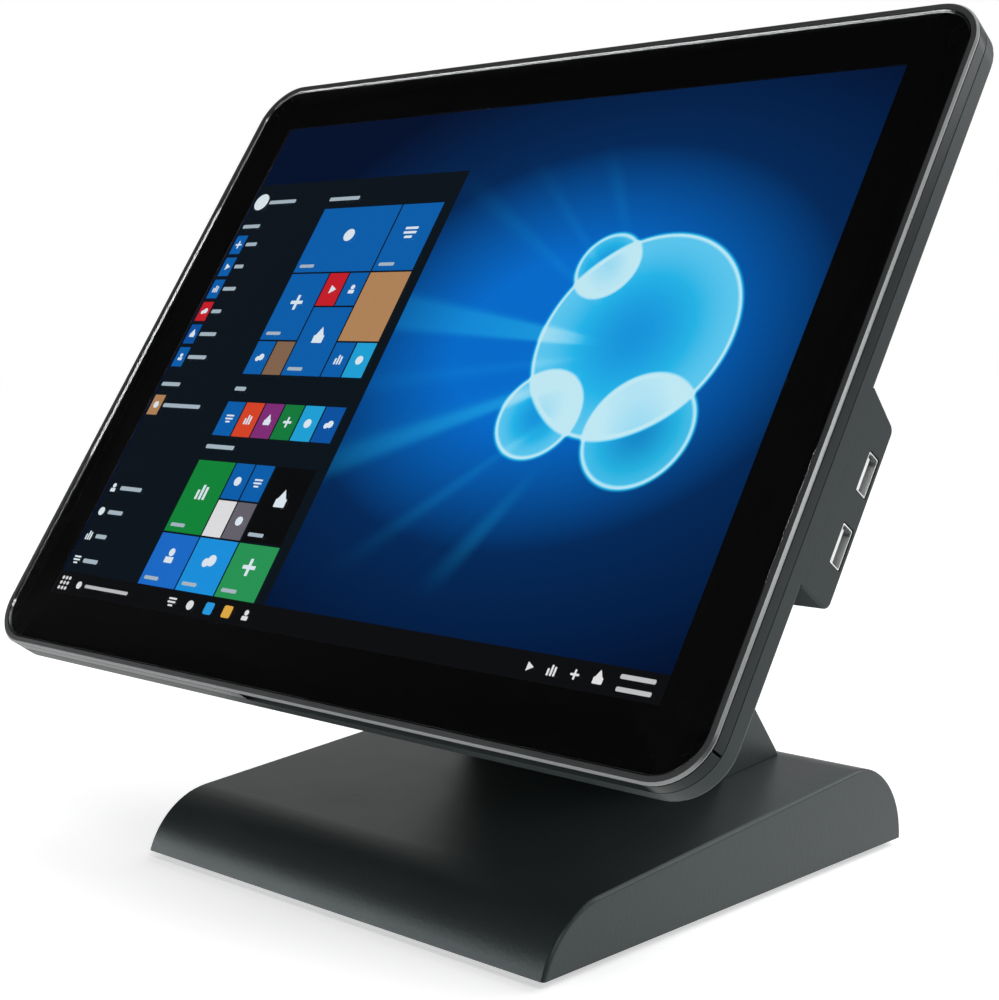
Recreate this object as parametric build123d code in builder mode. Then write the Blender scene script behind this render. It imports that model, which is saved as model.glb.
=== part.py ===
"""Countertop touchscreen kiosk: a 15-inch touch head on a leaning neck and a wedge base.

Millimetres, +Z up, standing on z = 0. The origin is the bottom centre of the whole
terminal, +X is the viewer's right and -Y is the side the screen faces.
Inside the head, "across" is along X, "up" runs up the screen and "depth" runs into the
head from the front plane of its rim.
"""

import os
from math import cos, radians, sin, tan

from build123d import *

os.makedirs("parts", exist_ok=True)

# ---------------------------------------------------------------- driving dimensions
# Clearances
slip_gap = 0.15          # between a piece and the pocket that holds it
swing_gap = 0.3          # between faces that move past each other
thread_gap = 0.05        # round a screw or pin in its hole
shaft_gap = 0.05         # radial running clearance of the hinge

# Display panel
active_w, active_h = 304.1, 228.1        # a 15-inch 4:3 picture
module_w, module_h = 326.5, 253.5
module_t = 5.8
module_sheet = 0.4
module_gap, module_rear_gap = 0.1, 0.3   # in front of the module and behind it
layer_gap = 0.05                         # between the layers of the module
cell_t = 1.35

# Head outline
glass_w, glass_h, glass_t = 345.0, 270.0, 1.8
glass_corner_r = 16.0
glass_sunk = 0.2         # glass face below the rim
rim_w = 2.5              # visible rim round the glass
rim_t = 1.1
rim_bevel = 0.7
shell_front = 6.4        # depth at which the rear shell starts
shell_wall = 2.0
shell_edge_r = 1.5
mask_t = 0.2
chassis_t = 1.0
chassis_room = 2.0       # from the chassis to the inside of the rear shell
chassis_margin = 5.0     # chassis edge inside the head outline

# Trim band round the edge of the head
trim_t = 2.0
trim_front, trim_back = 1.5, 6.15
corner_trim_up = -124.0  # where the corner trim starts on the right side
slot_left, slot_right = -19.0, 156.5     # ends of the sound slot in the bottom edge
trim_joint = 0.8
grille_sunk = 1.0

# Electronics housing on the back of the head
box_top, box_top_back = -0.4, -5.0
box_bottom = -67.2
box_t = 16.6             # housing behind the rear shell's outer face
box_wall = 1.8
box_edge_r = 3.0
box_side_r = 0.8
box_mouth_margin = 5.0

# Circuit boards and their supports
board_t = 1.6
board_gap = 0.2          # mainboard behind the rear shell's outer face
main_board_w, main_board_h = 250.0, 52.0
main_board_centre = (5.0, -34.0)
usb_board_lift = 7.1     # USB board behind the mainboard
usb_board_w, usb_board_h = 20.0, 50.0
switch_board_w, switch_board_h = 18.0, 30.0
standoff_r = 2.6
board_screw_r = 1.2
board_screw_head, board_screw_grip = (2.2, 1.2), 3.5
chassis_screw_head, chassis_screw_grip = (2.4, 1.3), 4.0
shell_screw_head, shell_screw_grip = (2.6, 1.2), 4.0
cover_screw_head, cover_screw_grip = (2.6, 1.4), 8.0
post_r, hinge_post_r = 3.2, 4.0
post_hole_gap = 0.5

# Sockets
usb_w, usb_h, usb_length, usb_sheet = 13.1, 5.7, 14.0, 0.35
usb_tongue_w, usb_tongue_t = 11.1, 1.8
usb_side_up = (-23.6, -47.9)             # the two sockets in the right side wall
usb_mouth_gap = 0.35
lan_w, lan_h, lan_length, lan_wall = 16.0, 12.4, 17.0, 2.0
lan_across = -68.0
serial_w, serial_h, serial_length = 30.8, 12.5, 12.0
serial_across = (-95.0, 74.0)
usb_down_across = (-22.0, 2.0)
dc_w, dc_h, dc_length, dc_bore_r = 14.0, 11.0, 14.0, 3.2
dc_across = 100.0
socket_reveal = 0.3                      # socket face inside the wall's outer face
usb_block_t, usb_block_gap = 2.5, 0.1    # plastic block at the back of a USB shell
usb_tongue_off, usb_tongue_back = 0.6, 1.2
mouth_corner_r = 0.6

# Parts on the mainboard and in front of it
processor_w, processor_t = 24.0, 1.4
heat_sink_at, heat_sink_w, heat_sink_h, heat_sink_t = (-16.0, -24.0), 44.0, 28.0, 10.4
sink_floor, sink_pitch, sink_slot, sink_slots = 2.0, 3.6, 2.2, 11
memory_at, memory_w, memory_h = (74.0, -28.0), 36.0, 26.0
memory_seat_w, memory_seat_h = 40.0, 5.0
drive_at, drive_w, drive_h = (-88.0, -20.0), 42.0, 22.0
drive_seat_w = 5.0
card_t, chip_t, card_seat_t = 1.0, 1.1, 4.0
memory_lift, drive_lift = 2.2, 2.0
touch_board_at, touch_board_w, touch_board_h, touch_board_t = (-58.0, 108.0), 56.0, 12.0, 0.9
touch_chip_t = 0.8
cable_t, cable_w, cable_left, cable_top, cable_tuck, cable_ramp = 0.4, 22.0, 10.0, 28.0, 8.0, 4.0

# Power button
button_r, button_travel, button_proud = 4.0, 1.2, 1.0
button_flange_r, button_flange_t, button_edge = 5.4, 1.2, 0.4
switch_rest_gap, switch_tip_r, switch_tip_t = 0.3, 1.7, 1.0
switch_w, switch_t, switch_back = 6.0, 3.5, 3.2
button_up, button_lift = -30.0, 5.9      # the button's axis behind the mainboard's front

# Tilt hinge
tilt = 33.8              # screen leaning back from vertical
pivot_up, pivot_stand = -31.0, 21.5      # the pivot behind the housing
ear_r, ear_t, ear_across = 10.0, 3.0, 38.5
shaft_r, shaft_head_r, shaft_head_t = 4.0, 6.5, 3.2
disc_r, disc_t, disc_count = 7.4, 1.6, 3
nut_r, nut_t = 7.4, 5.0
barrel_r, barrel_half_w, barrel_wall = 16.0, 43.0, 2.0
hinge_plate_w, hinge_plate_h, hinge_plate_t = 104.0, 52.0, 2.5
backing_t = 2.0
hinge_screw_across, hinge_screw_up = 46.0, 19.0
hinge_screw_r, hinge_screw_spare = 2.0, 8.0
hinge_screw_head = (3.6, 2.2)
hinge_plate_corner_r = 5.0
shaft_play = 0.1         # shaft head and discs clear of the bracket's ears
middle_disc_step = 0.8   # the middle disc is smaller, so the stack shows its layers

# Neck
neck_w, neck_r, neck_wall = 130.0, 16.0, 2.5
neck_lean = 38.0
neck_edge_r = 1.2
neck_notch_r = 18.5
neck_divider_length = 24.0
cheek_r, cheek_t = 11.0, 3.0
cheek_inner = 46.5
flange_length = 28.0
front_panel_w, front_panel_t = 112.0, 2.0
front_panel_top, front_panel_length = 30.0, 74.0
neck_bolt_across, neck_bolt_along, neck_bolt_r = 32.0, (-10.0, 4.0), 2.5
neck_bolt_head = (4.2, 3.5)
neck_nut_r, neck_nut_t, neck_bolt_spare = 4.4, 4.0, 6.0

# Base
base_w, base_d = 203.5, 212.7
base_wall = 3.0
base_front_run, base_front_h = 27.3, 24.1     # where the top slope starts
base_rear_run, base_rear_h = 34.3, 35.7       # where it ends
base_crease_r = 1.5
foot_h, foot_r = 3.0, 11.0
foot_stud_r = 3.0
foot_taper = 8.0
foot_inset, foot_inset_y = 18.0, 23.0
plate_t, plate_margin, plate_corner_r = 1.5, 6.0, 3.0
stiffener_w, stiffener_d, stiffener_t = 120.0, 30.0, 3.0
ballast_w, ballast_d, ballast_t = 150.0, 96.0, 8.0
ballast_y, ballast_corner_r = -22.0, 6.0
base_boss_r = 5.0
base_screw_across, base_screw_y = 88.0, (-62.0, 56.0)
base_screw_r, base_screw_length = 1.5, 12.0
base_screw_head = (3.0, 1.2)             # radius and height, as for the other heads

# Foot of the neck behind the base centre, and height of the glass centre
neck_foot_y, glass_z = 56.215, 194.7

# ---------------------------------------------------------------- derived places
head_w, head_h = glass_w + 2 * rim_w, glass_h + 2 * rim_w
head_r = glass_corner_r + rim_w
lean_back, neck_back = radians(tilt), radians(neck_lean)
up_y, up_z = sin(lean_back), cos(lean_back)

# Depths in the head, from the front plane of its rim
mask_front = glass_sunk + glass_t
ledge = mask_front + mask_t
frame_back = ledge + module_gap + module_t + module_rear_gap
chassis_back = frame_back + chassis_t
head_edge_t = chassis_back + chassis_room + shell_wall
box_depth = head_edge_t + box_t
board_front = head_edge_t + board_gap
board_back = board_front + board_t
usb_board_front = board_front + usb_board_lift
button_depth = board_front + button_lift
pivot_depth = box_depth + pivot_stand

# Side profile of the base, counted from its own centre
front_y, rear_y = -base_d / 2, base_d / 2
slope_start = Vector(front_y + base_front_run, base_front_h)
slope_end = Vector(rear_y - base_rear_run, base_rear_h)
slope_dir = (slope_end - slope_start).normalized()
slope_normal = Vector(0, -slope_dir.Y, slope_dir.X)


def slope_height(y):
    """Height of the base's sloping top, y counted from the base centre."""
    return slope_start.Y + (y - slope_start.X) * slope_dir.Y / slope_dir.X


# The neck rises from its foot to the pivot, and the pivot places the glass.
pivot_z = glass_z + pivot_up * up_z - pivot_depth * up_y
neck_rise = pivot_z - slope_height(neck_foot_y)
pivot_y = neck_foot_y - neck_rise * tan(neck_back)
glass_y = pivot_y - pivot_up * up_y - pivot_depth * up_z

# The origin is midway between the lowest front edge of the head and the back of the base.
front_reach = glass_y - head_h / 2 * up_y
base_y = -(front_reach + base_d / 2) / 2
head_centre = Vector(0, base_y + glass_y, glass_z)
up_dir, out_dir = Vector(0, up_y, up_z), Vector(0, -up_z, up_y)
head_plane = Plane(origin=head_centre, x_dir=(1, 0, 0), z_dir=out_dir)
out_axis = Axis(head_centre, out_dir)


def at(depth):
    """Plane parallel to the screen, this deep in the head; its normal faces the viewer."""
    return head_plane.offset(-depth)


def head_section(across):
    """Plane across the head: its x runs up the screen and its y runs out of the screen."""
    return Plane(origin=head_centre + Vector(across, 0, 0), x_dir=up_dir, z_dir=(1, 0, 0))


def edge_plane(up):
    """Plane square to the screen at this height; its normal runs up, its y runs inwards."""
    return Plane(origin=head_centre + up_dir * up, x_dir=(1, 0, 0), z_dir=up_dir)


pivot = Vector(0, base_y + pivot_y, pivot_z)
neck_up = Vector(0, -sin(neck_back), cos(neck_back))
neck_rear = Vector(0, cos(neck_back), sin(neck_back))
neck_foot = Vector(0, base_y + neck_foot_y, slope_height(neck_foot_y))
foot_plane = Plane(origin=neck_foot, x_dir=(1, 0, 0), z_dir=slope_normal)
neck_past_foot = (pivot - neck_foot).length + 2 * neck_r


def neck_section(across):
    """Plane across the neck at the pivot: x runs to the rear and y runs up the neck."""
    return Plane(origin=(across, pivot.Y, pivot.Z), x_dir=neck_rear, z_dir=(1, 0, 0))


def base_section(across):
    return Plane(origin=(across, base_y, 0), x_dir=(0, 1, 0), z_dir=(1, 0, 0))


def base_outline():
    """Side profile of the base: sloping top with a round nose and a round tail."""
    with BuildLine() as outline:
        top = Line(slope_start, slope_end)
        tail = TangentArc(top @ 1, (rear_y, foot_h), tangent=top % 1)
        nose = TangentArc(top @ 0, (front_y, foot_h), tangent=-(top % 0))
        Line(tail @ 1, nose @ 1)
    make_face(outline.edges())


def mirrored(points):
    """Each (x, y) point and its twin across X."""
    return [(side * x, y) for x, y in points for side in (-1, 1)]


def save(builder, name):
    builder.part.label = name
    export_step(builder.part, f"parts/{name}.step")


def screw_group(plane, points, screw_r, length, head_r, head_t, side=1):
    """Screws with their seats on the plane; side is 1 where the heads stand on its normal."""
    with BuildPart() as group:
        with BuildSketch(plane):
            with Locations(*points):
                Circle(head_r)
        extrude(amount=side * head_t)
        with BuildSketch(plane):
            with Locations(*points):
                Circle(screw_r)
        extrude(amount=-side * length)
        with BuildSketch(plane.offset(side * head_t)):
            with Locations(*points):
                RegularPolygon(head_r * 0.45, 6)
        extrude(amount=-side * head_t * 0.5, mode=Mode.SUBTRACT)
    return group


# ---------------------------------------------------------------- base
plate_w, plate_d = base_w - 2 * plate_margin, base_d - 2 * plate_margin
base_screws_at = mirrored([(base_screw_across, y) for y in base_screw_y])
feet_at = mirrored([(base_w / 2 - foot_inset, y) for y in
                    (front_y + foot_inset_y, rear_y - foot_inset_y)])
neck_bolts_at = mirrored([(neck_bolt_across, y) for y in neck_bolt_along])
floor_plane = Plane(origin=(0, base_y, foot_h), x_dir=(1, 0, 0), z_dir=(0, 0, 1))

with BuildPart() as base_shell:
    with BuildSketch(base_section(-base_w / 2)):
        base_outline()
    extrude(amount=base_w)
    sides = base_shell.faces().filter_by(Axis.X)
    creases = sides.edges().filter_by(lambda edge: edge.center().Z > foot_h + 0.1)
    fillet(creases, base_crease_r)
    with BuildSketch(base_section(-base_w / 2 + base_wall)):
        base_outline()
        offset(amount=-base_wall, kind=Kind.INTERSECTION)
    extrude(amount=base_w - 2 * base_wall, mode=Mode.SUBTRACT)
    with BuildSketch(floor_plane):
        Rectangle(plate_w + 2 * slip_gap, plate_d + 2 * slip_gap)
    extrude(amount=base_wall + 0.5, mode=Mode.SUBTRACT)
    for across, y in base_screws_at:
        with BuildSketch(floor_plane.offset(plate_t)):
            with Locations((across, y)):
                Circle(base_boss_r)
                Circle(base_screw_r + thread_gap, mode=Mode.SUBTRACT)
        extrude(amount=slope_height(y) - foot_h - plate_t - base_wall / 2)
    with BuildSketch(foot_plane):
        with Locations(*neck_bolts_at):
            Circle(neck_bolt_r + thread_gap)
    extrude(amount=-base_wall * 2, mode=Mode.SUBTRACT)
save(base_shell, "base_shell")

with BuildPart() as base_plate:
    with BuildSketch(floor_plane):
        RectangleRounded(plate_w, plate_d, plate_corner_r)
        with Locations(*feet_at):
            Circle(foot_stud_r + thread_gap, mode=Mode.SUBTRACT)
        with Locations(*base_screws_at):
            Circle(base_screw_r + thread_gap, mode=Mode.SUBTRACT)
    extrude(amount=plate_t)
save(base_plate, "base_plate")

with BuildPart() as rubber_feet:
    with BuildSketch(floor_plane):
        with Locations(*feet_at):
            Circle(foot_r)
    extrude(amount=-foot_h, taper=foot_taper)
    with BuildSketch(floor_plane):
        with Locations(*feet_at):
            Circle(foot_stud_r)
    extrude(amount=plate_t + 1)
save(rubber_feet, "rubber_feet")

base_screws = screw_group(floor_plane, base_screws_at, base_screw_r, base_screw_length,
                          *base_screw_head, side=-1)
save(base_screws, "base_plate_screws")

with BuildPart() as ballast:
    with BuildSketch(floor_plane.offset(plate_t)):
        with Locations((0, ballast_y)):
            RectangleRounded(ballast_w, ballast_d, ballast_corner_r)
    extrude(amount=ballast_t)
save(ballast, "base_ballast")

with BuildPart() as stiffener:
    with BuildSketch(foot_plane.offset(-base_wall)):
        Rectangle(stiffener_w, stiffener_d)
        with Locations(*neck_bolts_at):
            Circle(neck_bolt_r + thread_gap, mode=Mode.SUBTRACT)
    extrude(amount=-stiffener_t)
save(stiffener, "base_stiffener")

# ---------------------------------------------------------------- neck


def neck_outline(radius):
    Circle(radius)
    Rectangle(2 * radius, neck_past_foot, align=(Align.CENTER, Align.MAX))


with BuildPart() as neck_shell:
    with BuildSketch(neck_section(-neck_w / 2)):
        neck_outline(neck_r)
    extrude(amount=neck_w)
    fillet(neck_shell.faces().filter_by(Axis.X).edges(), neck_edge_r)
    inner_r = neck_r - neck_wall
    for start, end in ((-neck_w / 2 + neck_wall, -cheek_inner + 0.5),
                       (-barrel_half_w - swing_gap, barrel_half_w + swing_gap),
                       (cheek_inner - 0.5, neck_w / 2 - neck_wall)):
        with BuildSketch(neck_section(start)):
            neck_outline(inner_r)
        extrude(amount=end - start, mode=Mode.SUBTRACT)
    with BuildSketch(neck_section(-neck_w / 2 + neck_wall)):
        with Locations((0, -neck_divider_length)):
            Rectangle(2 * inner_r, neck_past_foot, align=(Align.CENTER, Align.MAX))
    extrude(amount=neck_w - 2 * neck_wall, mode=Mode.SUBTRACT)
    with BuildSketch(neck_section(-barrel_half_w - swing_gap)):
        Circle(neck_notch_r)
    extrude(amount=2 * (barrel_half_w + swing_gap), mode=Mode.SUBTRACT)
    with BuildSketch(neck_section(-cheek_inner)):
        Circle(disc_r + swing_gap)
    extrude(amount=2 * cheek_inner, mode=Mode.SUBTRACT)
    with BuildSketch(Plane(origin=neck_section(0).from_local_coords(Vector(-neck_r, 0, 0)),
                           x_dir=(1, 0, 0), z_dir=-neck_rear)):
        with Locations((0, -front_panel_top)):
            Rectangle(front_panel_w, front_panel_length, align=(Align.CENTER, Align.MAX))
    extrude(amount=-neck_wall, mode=Mode.SUBTRACT)
    split(bisect_by=foot_plane, keep=Keep.TOP)
save(neck_shell, "neck_shell")

with BuildPart() as neck_front_panel:
    with BuildSketch(Plane(origin=neck_section(0).from_local_coords(Vector(-neck_r, 0, 0)),
                           x_dir=(1, 0, 0), z_dir=-neck_rear)):
        with Locations((0, -front_panel_top - slip_gap)):
            Rectangle(front_panel_w - 2 * slip_gap, front_panel_length - 2 * slip_gap,
                      align=(Align.CENTER, Align.MAX))
    extrude(amount=-front_panel_t)
    split(bisect_by=foot_plane.offset(slip_gap), keep=Keep.TOP)
save(neck_front_panel, "neck_front_panel")

with BuildPart() as neck_bracket:
    for start in (-cheek_inner - cheek_t, cheek_inner):
        with BuildSketch(neck_section(start)):
            neck_outline(cheek_r)
            Circle(shaft_r + thread_gap, mode=Mode.SUBTRACT)
        extrude(amount=cheek_t)
    with BuildSketch(foot_plane):
        Rectangle(2 * (cheek_inner + cheek_t), flange_length)
    extrude(amount=cheek_t)
    with BuildSketch(foot_plane):
        with Locations(*neck_bolts_at):
            Circle(neck_bolt_r + thread_gap)
    extrude(amount=cheek_t, mode=Mode.SUBTRACT)
    split(bisect_by=foot_plane, keep=Keep.TOP)
save(neck_bracket, "neck_bracket")

under_stiffener = foot_plane.offset(-base_wall - stiffener_t)
neck_bolts = screw_group(under_stiffener, neck_bolts_at, neck_bolt_r,
                         base_wall + stiffener_t + cheek_t + neck_bolt_spare,
                         *neck_bolt_head, side=-1)
save(neck_bolts, "neck_bolts")

with BuildPart() as neck_nuts:
    with BuildSketch(foot_plane.offset(cheek_t)):
        with Locations(*neck_bolts_at):
            RegularPolygon(neck_nut_r, 6)
            Circle(neck_bolt_r + thread_gap, mode=Mode.SUBTRACT)
    extrude(amount=neck_nut_t)
save(neck_nuts, "neck_nuts")

# ---------------------------------------------------------------- tilt hinge
ear_outer = ear_across + ear_t
disc_start = ear_outer + shaft_play
hinge_screws_at = [(x, pivot_up + y) for x, y in
                   mirrored([(hinge_screw_across, -hinge_screw_up),
                             (hinge_screw_across, hinge_screw_up)])]

with BuildPart() as hinge_shafts:
    for side in (-1, 1):
        with BuildSketch(neck_section(side * (ear_across - shaft_play))):
            Circle(shaft_head_r)
        extrude(amount=-side * shaft_head_t)
        with BuildSketch(neck_section(side * (ear_across - shaft_play))):
            Circle(shaft_r)
        extrude(amount=side * (cheek_inner + cheek_t + nut_t + 2 - ear_across))
save(hinge_shafts, "hinge_shafts")

with BuildPart() as friction_discs:
    for side in (-1, 1):
        for index in range(disc_count):
            with BuildSketch(neck_section(side * (disc_start + index * disc_t))):
                Circle(disc_r - (middle_disc_step if index == 1 else 0))
                Circle(shaft_r + thread_gap, mode=Mode.SUBTRACT)
            extrude(amount=side * disc_t)
save(friction_discs, "friction_discs")

with BuildPart() as hinge_nuts:
    for side in (-1, 1):
        with BuildSketch(neck_section(side * (cheek_inner + cheek_t))):
            RegularPolygon(nut_r, 6)
            Circle(shaft_r + thread_gap, mode=Mode.SUBTRACT)
        extrude(amount=side * nut_t)
save(hinge_nuts, "hinge_nuts")

pivot_in_section = (pivot_up, -pivot_depth)
plate_face = box_depth + hinge_plate_t

with BuildPart() as hinge_bracket:
    with BuildSketch(at(box_depth)):
        with Locations((0, pivot_up)):
            RectangleRounded(hinge_plate_w, hinge_plate_h, hinge_plate_corner_r)
        with Locations(*hinge_screws_at):
            Circle(hinge_screw_r + thread_gap, mode=Mode.SUBTRACT)
    extrude(amount=-hinge_plate_t)
    for start in (-ear_outer, ear_across):
        with BuildSketch(head_section(start)):
            with Locations(pivot_in_section):
                Circle(ear_r)
            with Locations((pivot_up, -box_depth - hinge_plate_t / 2)):
                Rectangle(2 * ear_r, pivot_depth - box_depth - hinge_plate_t / 2,
                          align=(Align.CENTER, Align.MAX))
            with Locations(pivot_in_section):
                Circle(shaft_r + shaft_gap, mode=Mode.SUBTRACT)
        extrude(amount=ear_t)
save(hinge_bracket, "hinge_bracket")

with BuildPart() as hinge_cover:
    with BuildSketch(head_section(-barrel_half_w)):
        with Locations(pivot_in_section):
            Circle(barrel_r)
        with Locations((pivot_up, -plate_face)):
            Rectangle(2 * barrel_r, pivot_depth - plate_face, align=(Align.CENTER, Align.MAX))
    extrude(amount=2 * barrel_half_w)
    cap_t = barrel_half_w - ear_outer - slip_gap
    with BuildSketch(head_section(-barrel_half_w + cap_t)):
        with Locations(pivot_in_section):
            Circle(barrel_r - barrel_wall)
        with Locations((pivot_up, -plate_face)):
            Rectangle(2 * (barrel_r - barrel_wall), pivot_depth - plate_face,
                      align=(Align.CENTER, Align.MAX))
    extrude(amount=2 * (barrel_half_w - cap_t), mode=Mode.SUBTRACT)
    with BuildSketch(head_section(-barrel_half_w)):
        with Locations(pivot_in_section):
            Circle(disc_r + swing_gap)
    extrude(amount=2 * barrel_half_w, mode=Mode.SUBTRACT)
save(hinge_cover, "hinge_cover")

# ---------------------------------------------------------------- front of the head
front_plane = at(0)

with BuildPart() as cover_glass:
    with BuildSketch(at(glass_sunk)):
        RectangleRounded(glass_w - 2 * slip_gap, glass_h - 2 * slip_gap, glass_corner_r)
    extrude(amount=-glass_t)
    chamfer(cover_glass.faces().sort_by(out_axis)[-1].edges(), 0.3)
save(cover_glass, "cover_glass")

with BuildPart() as border_mask:
    with BuildSketch(at(mask_front)):
        RectangleRounded(glass_w - 2, glass_h - 2, glass_corner_r - 1)
        Rectangle(active_w, active_h, mode=Mode.SUBTRACT)
    extrude(amount=-mask_t)
save(border_mask, "border_mask")

frame_core_w, frame_core_h = head_w - 2 * (trim_t + slip_gap), head_h - 2 * (trim_t + slip_gap)
inside_w, inside_h = head_w - 2 * shell_wall, head_h - 2 * shell_wall
frame_window_w, frame_window_h = module_w + 1, module_h + 1
speaker_w, speaker_h, speaker_depth = 36.0, 4.6, 5.4
speakers_across = (28.0, 110.0)
speaker_up = -frame_window_h / 2 - 0.6 - speaker_h / 2
frame_screws_at = mirrored([(head_w / 2 - 9, head_h / 2 - 24), (head_w / 2 - 9, 30),
                            (head_w / 2 - 9, -head_h / 2 + 24), (70, head_h / 2 - 8.5)])
shell_screws_at = mirrored([(head_w / 2 - 9, 84), (head_w / 2 - 9, -96), (30, head_h / 2 - 8.5)])

with BuildPart() as front_frame:
    with BuildSketch(front_plane):
        RectangleRounded(head_w, head_h, head_r)
    extrude(amount=-rim_t)
    chamfer(front_frame.faces().sort_by(out_axis)[-1].edges(), rim_bevel)
    with BuildSketch(at(rim_t)):
        RectangleRounded(frame_core_w, frame_core_h, head_r - trim_t - slip_gap)
    extrude(amount=rim_t - shell_front)
    with BuildSketch(at(shell_front)):
        RectangleRounded(inside_w - 1, inside_h - 1, head_r - shell_wall - 0.5)
    extrude(amount=shell_front - frame_back)
    with BuildSketch(front_plane):
        RectangleRounded(glass_w, glass_h, glass_corner_r)
    extrude(amount=-ledge, mode=Mode.SUBTRACT)
    with BuildSketch(front_plane):
        Rectangle(frame_window_w, frame_window_h)
    extrude(amount=-frame_back, mode=Mode.SUBTRACT)
    with BuildSketch(at(frame_back)):
        with Locations(*[(x, speaker_up) for x in speakers_across]):
            Rectangle(speaker_w + 2 * slip_gap, speaker_h + 2 * slip_gap)
    extrude(amount=speaker_depth + slip_gap, mode=Mode.SUBTRACT)
    with BuildSketch(edge_plane(-frame_core_h / 2)):
        with Locations(*[(x, (trim_front + trim_back) / 2) for x in speakers_across]):
            SlotOverall(speaker_w - 4, 2.4)
    extrude(amount=frame_core_h / 2 + speaker_up, mode=Mode.SUBTRACT)
    with BuildSketch(at(frame_back)):
        with Locations(*frame_screws_at, *shell_screws_at):
            Circle(board_screw_r + thread_gap)
    extrude(amount=4.6, mode=Mode.SUBTRACT)
save(front_frame, "front_frame")

with BuildPart() as lcd_bezel:
    with BuildSketch(at(ledge + module_gap)):
        Rectangle(module_w, module_h)
    extrude(amount=-module_t)
    with BuildSketch(at(ledge + module_gap + module_sheet)):
        Rectangle(module_w - 2 * module_sheet, module_h - 2 * module_sheet)
    extrude(amount=-module_t, mode=Mode.SUBTRACT)
    with BuildSketch(front_plane):
        Rectangle(active_w + 1, active_h + 1)
    extrude(amount=-module_t, mode=Mode.SUBTRACT)
save(lcd_bezel, "lcd_bezel")

cell_front = ledge + module_gap + module_sheet + layer_gap
backlight_front = cell_front + cell_t + layer_gap
with BuildPart() as lcd_cell:
    with BuildSketch(at(cell_front)):
        Rectangle(active_w + 10, active_h + 10)
    extrude(amount=-cell_t)
save(lcd_cell, "lcd_cell")

with BuildPart() as lcd_backlight:
    with BuildSketch(at(backlight_front)):
        Rectangle(module_w - 2 * module_sheet - 0.4, module_h - 2 * module_sheet - 0.4)
    extrude(amount=backlight_front - frame_back + module_rear_gap / 3)
save(lcd_backlight, "lcd_backlight")

# Trim band: one long strip round the top, and a short one at the lower right corner.


def trim_ring():
    RectangleRounded(head_w, head_h, head_r)
    RectangleRounded(head_w - 2 * trim_t, head_h - 2 * trim_t, head_r - trim_t,
                     mode=Mode.SUBTRACT)


corner_w, corner_h = head_w / 2 - slot_left, corner_trim_up + head_h / 2
with BuildPart() as edge_trim:
    with BuildSketch(at(trim_front)):
        trim_ring()
    extrude(amount=trim_front - trim_back)
    with BuildSketch(front_plane):
        with Locations((head_w / 2, -head_h / 2)):
            Rectangle(2 * corner_w, 2 * (corner_h + trim_joint))
    extrude(amount=-shell_front, mode=Mode.SUBTRACT)
save(edge_trim, "edge_trim")

with BuildPart() as corner_trim:
    with BuildSketch(at(trim_front)):
        trim_ring()
    extrude(amount=trim_front - trim_back)
    with BuildSketch(front_plane):
        with Locations((head_w / 2, -head_h / 2)):
            Rectangle(2 * (head_w / 2 - slot_right), 2 * corner_h)
    extrude(amount=-shell_front, mode=Mode.INTERSECT)
save(corner_trim, "corner_trim")

grille_w = slot_right - slot_left - 2
with BuildPart() as sound_grille:
    with BuildSketch(edge_plane(-head_h / 2 + grille_sunk)):
        with Locations(((slot_left + slot_right) / 2, (trim_front + trim_back) / 2)):
            SlotOverall(grille_w, trim_back - trim_front - 0.2)
        for across in speakers_across:
            with Locations((across, (trim_front + trim_back) / 2)):
                with GridLocations(4, 1, 9, 1):
                    SlotOverall(2.8, 1.2, mode=Mode.SUBTRACT)
    extrude(amount=trim_t + slip_gap - grille_sunk)
save(sound_grille, "sound_grille")

with BuildPart() as speakers:
    with BuildSketch(at(frame_back - 0.1)):
        with Locations(*[(x, speaker_up) for x in speakers_across]):
            RectangleRounded(speaker_w, speaker_h, 1)
    extrude(amount=speaker_depth - 0.2)
save(speakers, "speakers")

# ---------------------------------------------------------------- chassis and rear shell
cover_posts_at = mirrored([(134, -12), (134, -58)])
hinge_posts_at = hinge_screws_at
main_standoffs_at = [(main_board_centre[0] + sx * (main_board_w / 2 - 5),
                      main_board_centre[1] + sy * (main_board_h / 2 - 5))
                     for sx in (-1, 1) for sy in (-1, 1)]
switch_board_at = (-head_w / 2 + 14.5, button_up)
switch_standoffs_at = [(switch_board_at[0] + 5, switch_board_at[1] + y) for y in (-10, 10)]
usb_board_at = (head_w / 2 - 13.5, sum(usb_side_up) / 2)
usb_posts_at = [(usb_board_at[0] - 6, usb_board_at[1] + y) for y in (-20, 20)]
small_holes_at = main_standoffs_at + switch_standoffs_at + usb_posts_at

with BuildPart() as chassis:
    with BuildSketch(at(frame_back)):
        RectangleRounded(head_w - 2 * chassis_margin, head_h - 2 * chassis_margin,
                         head_r - chassis_margin)
        with Locations(*frame_screws_at, *shell_screws_at):
            Circle(board_screw_r + thread_gap, mode=Mode.SUBTRACT)
        with Locations((0, 52), (0, -94)):
            with GridLocations(110, 1, 3, 1):
                RectangleRounded(92, 30, 6, mode=Mode.SUBTRACT)
    extrude(amount=-chassis_t)
save(chassis, "chassis")

chassis_screws = screw_group(at(chassis_back), frame_screws_at, board_screw_r,
                             chassis_t + chassis_screw_grip, *chassis_screw_head, side=-1)
save(chassis_screws, "chassis_screws")

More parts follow.
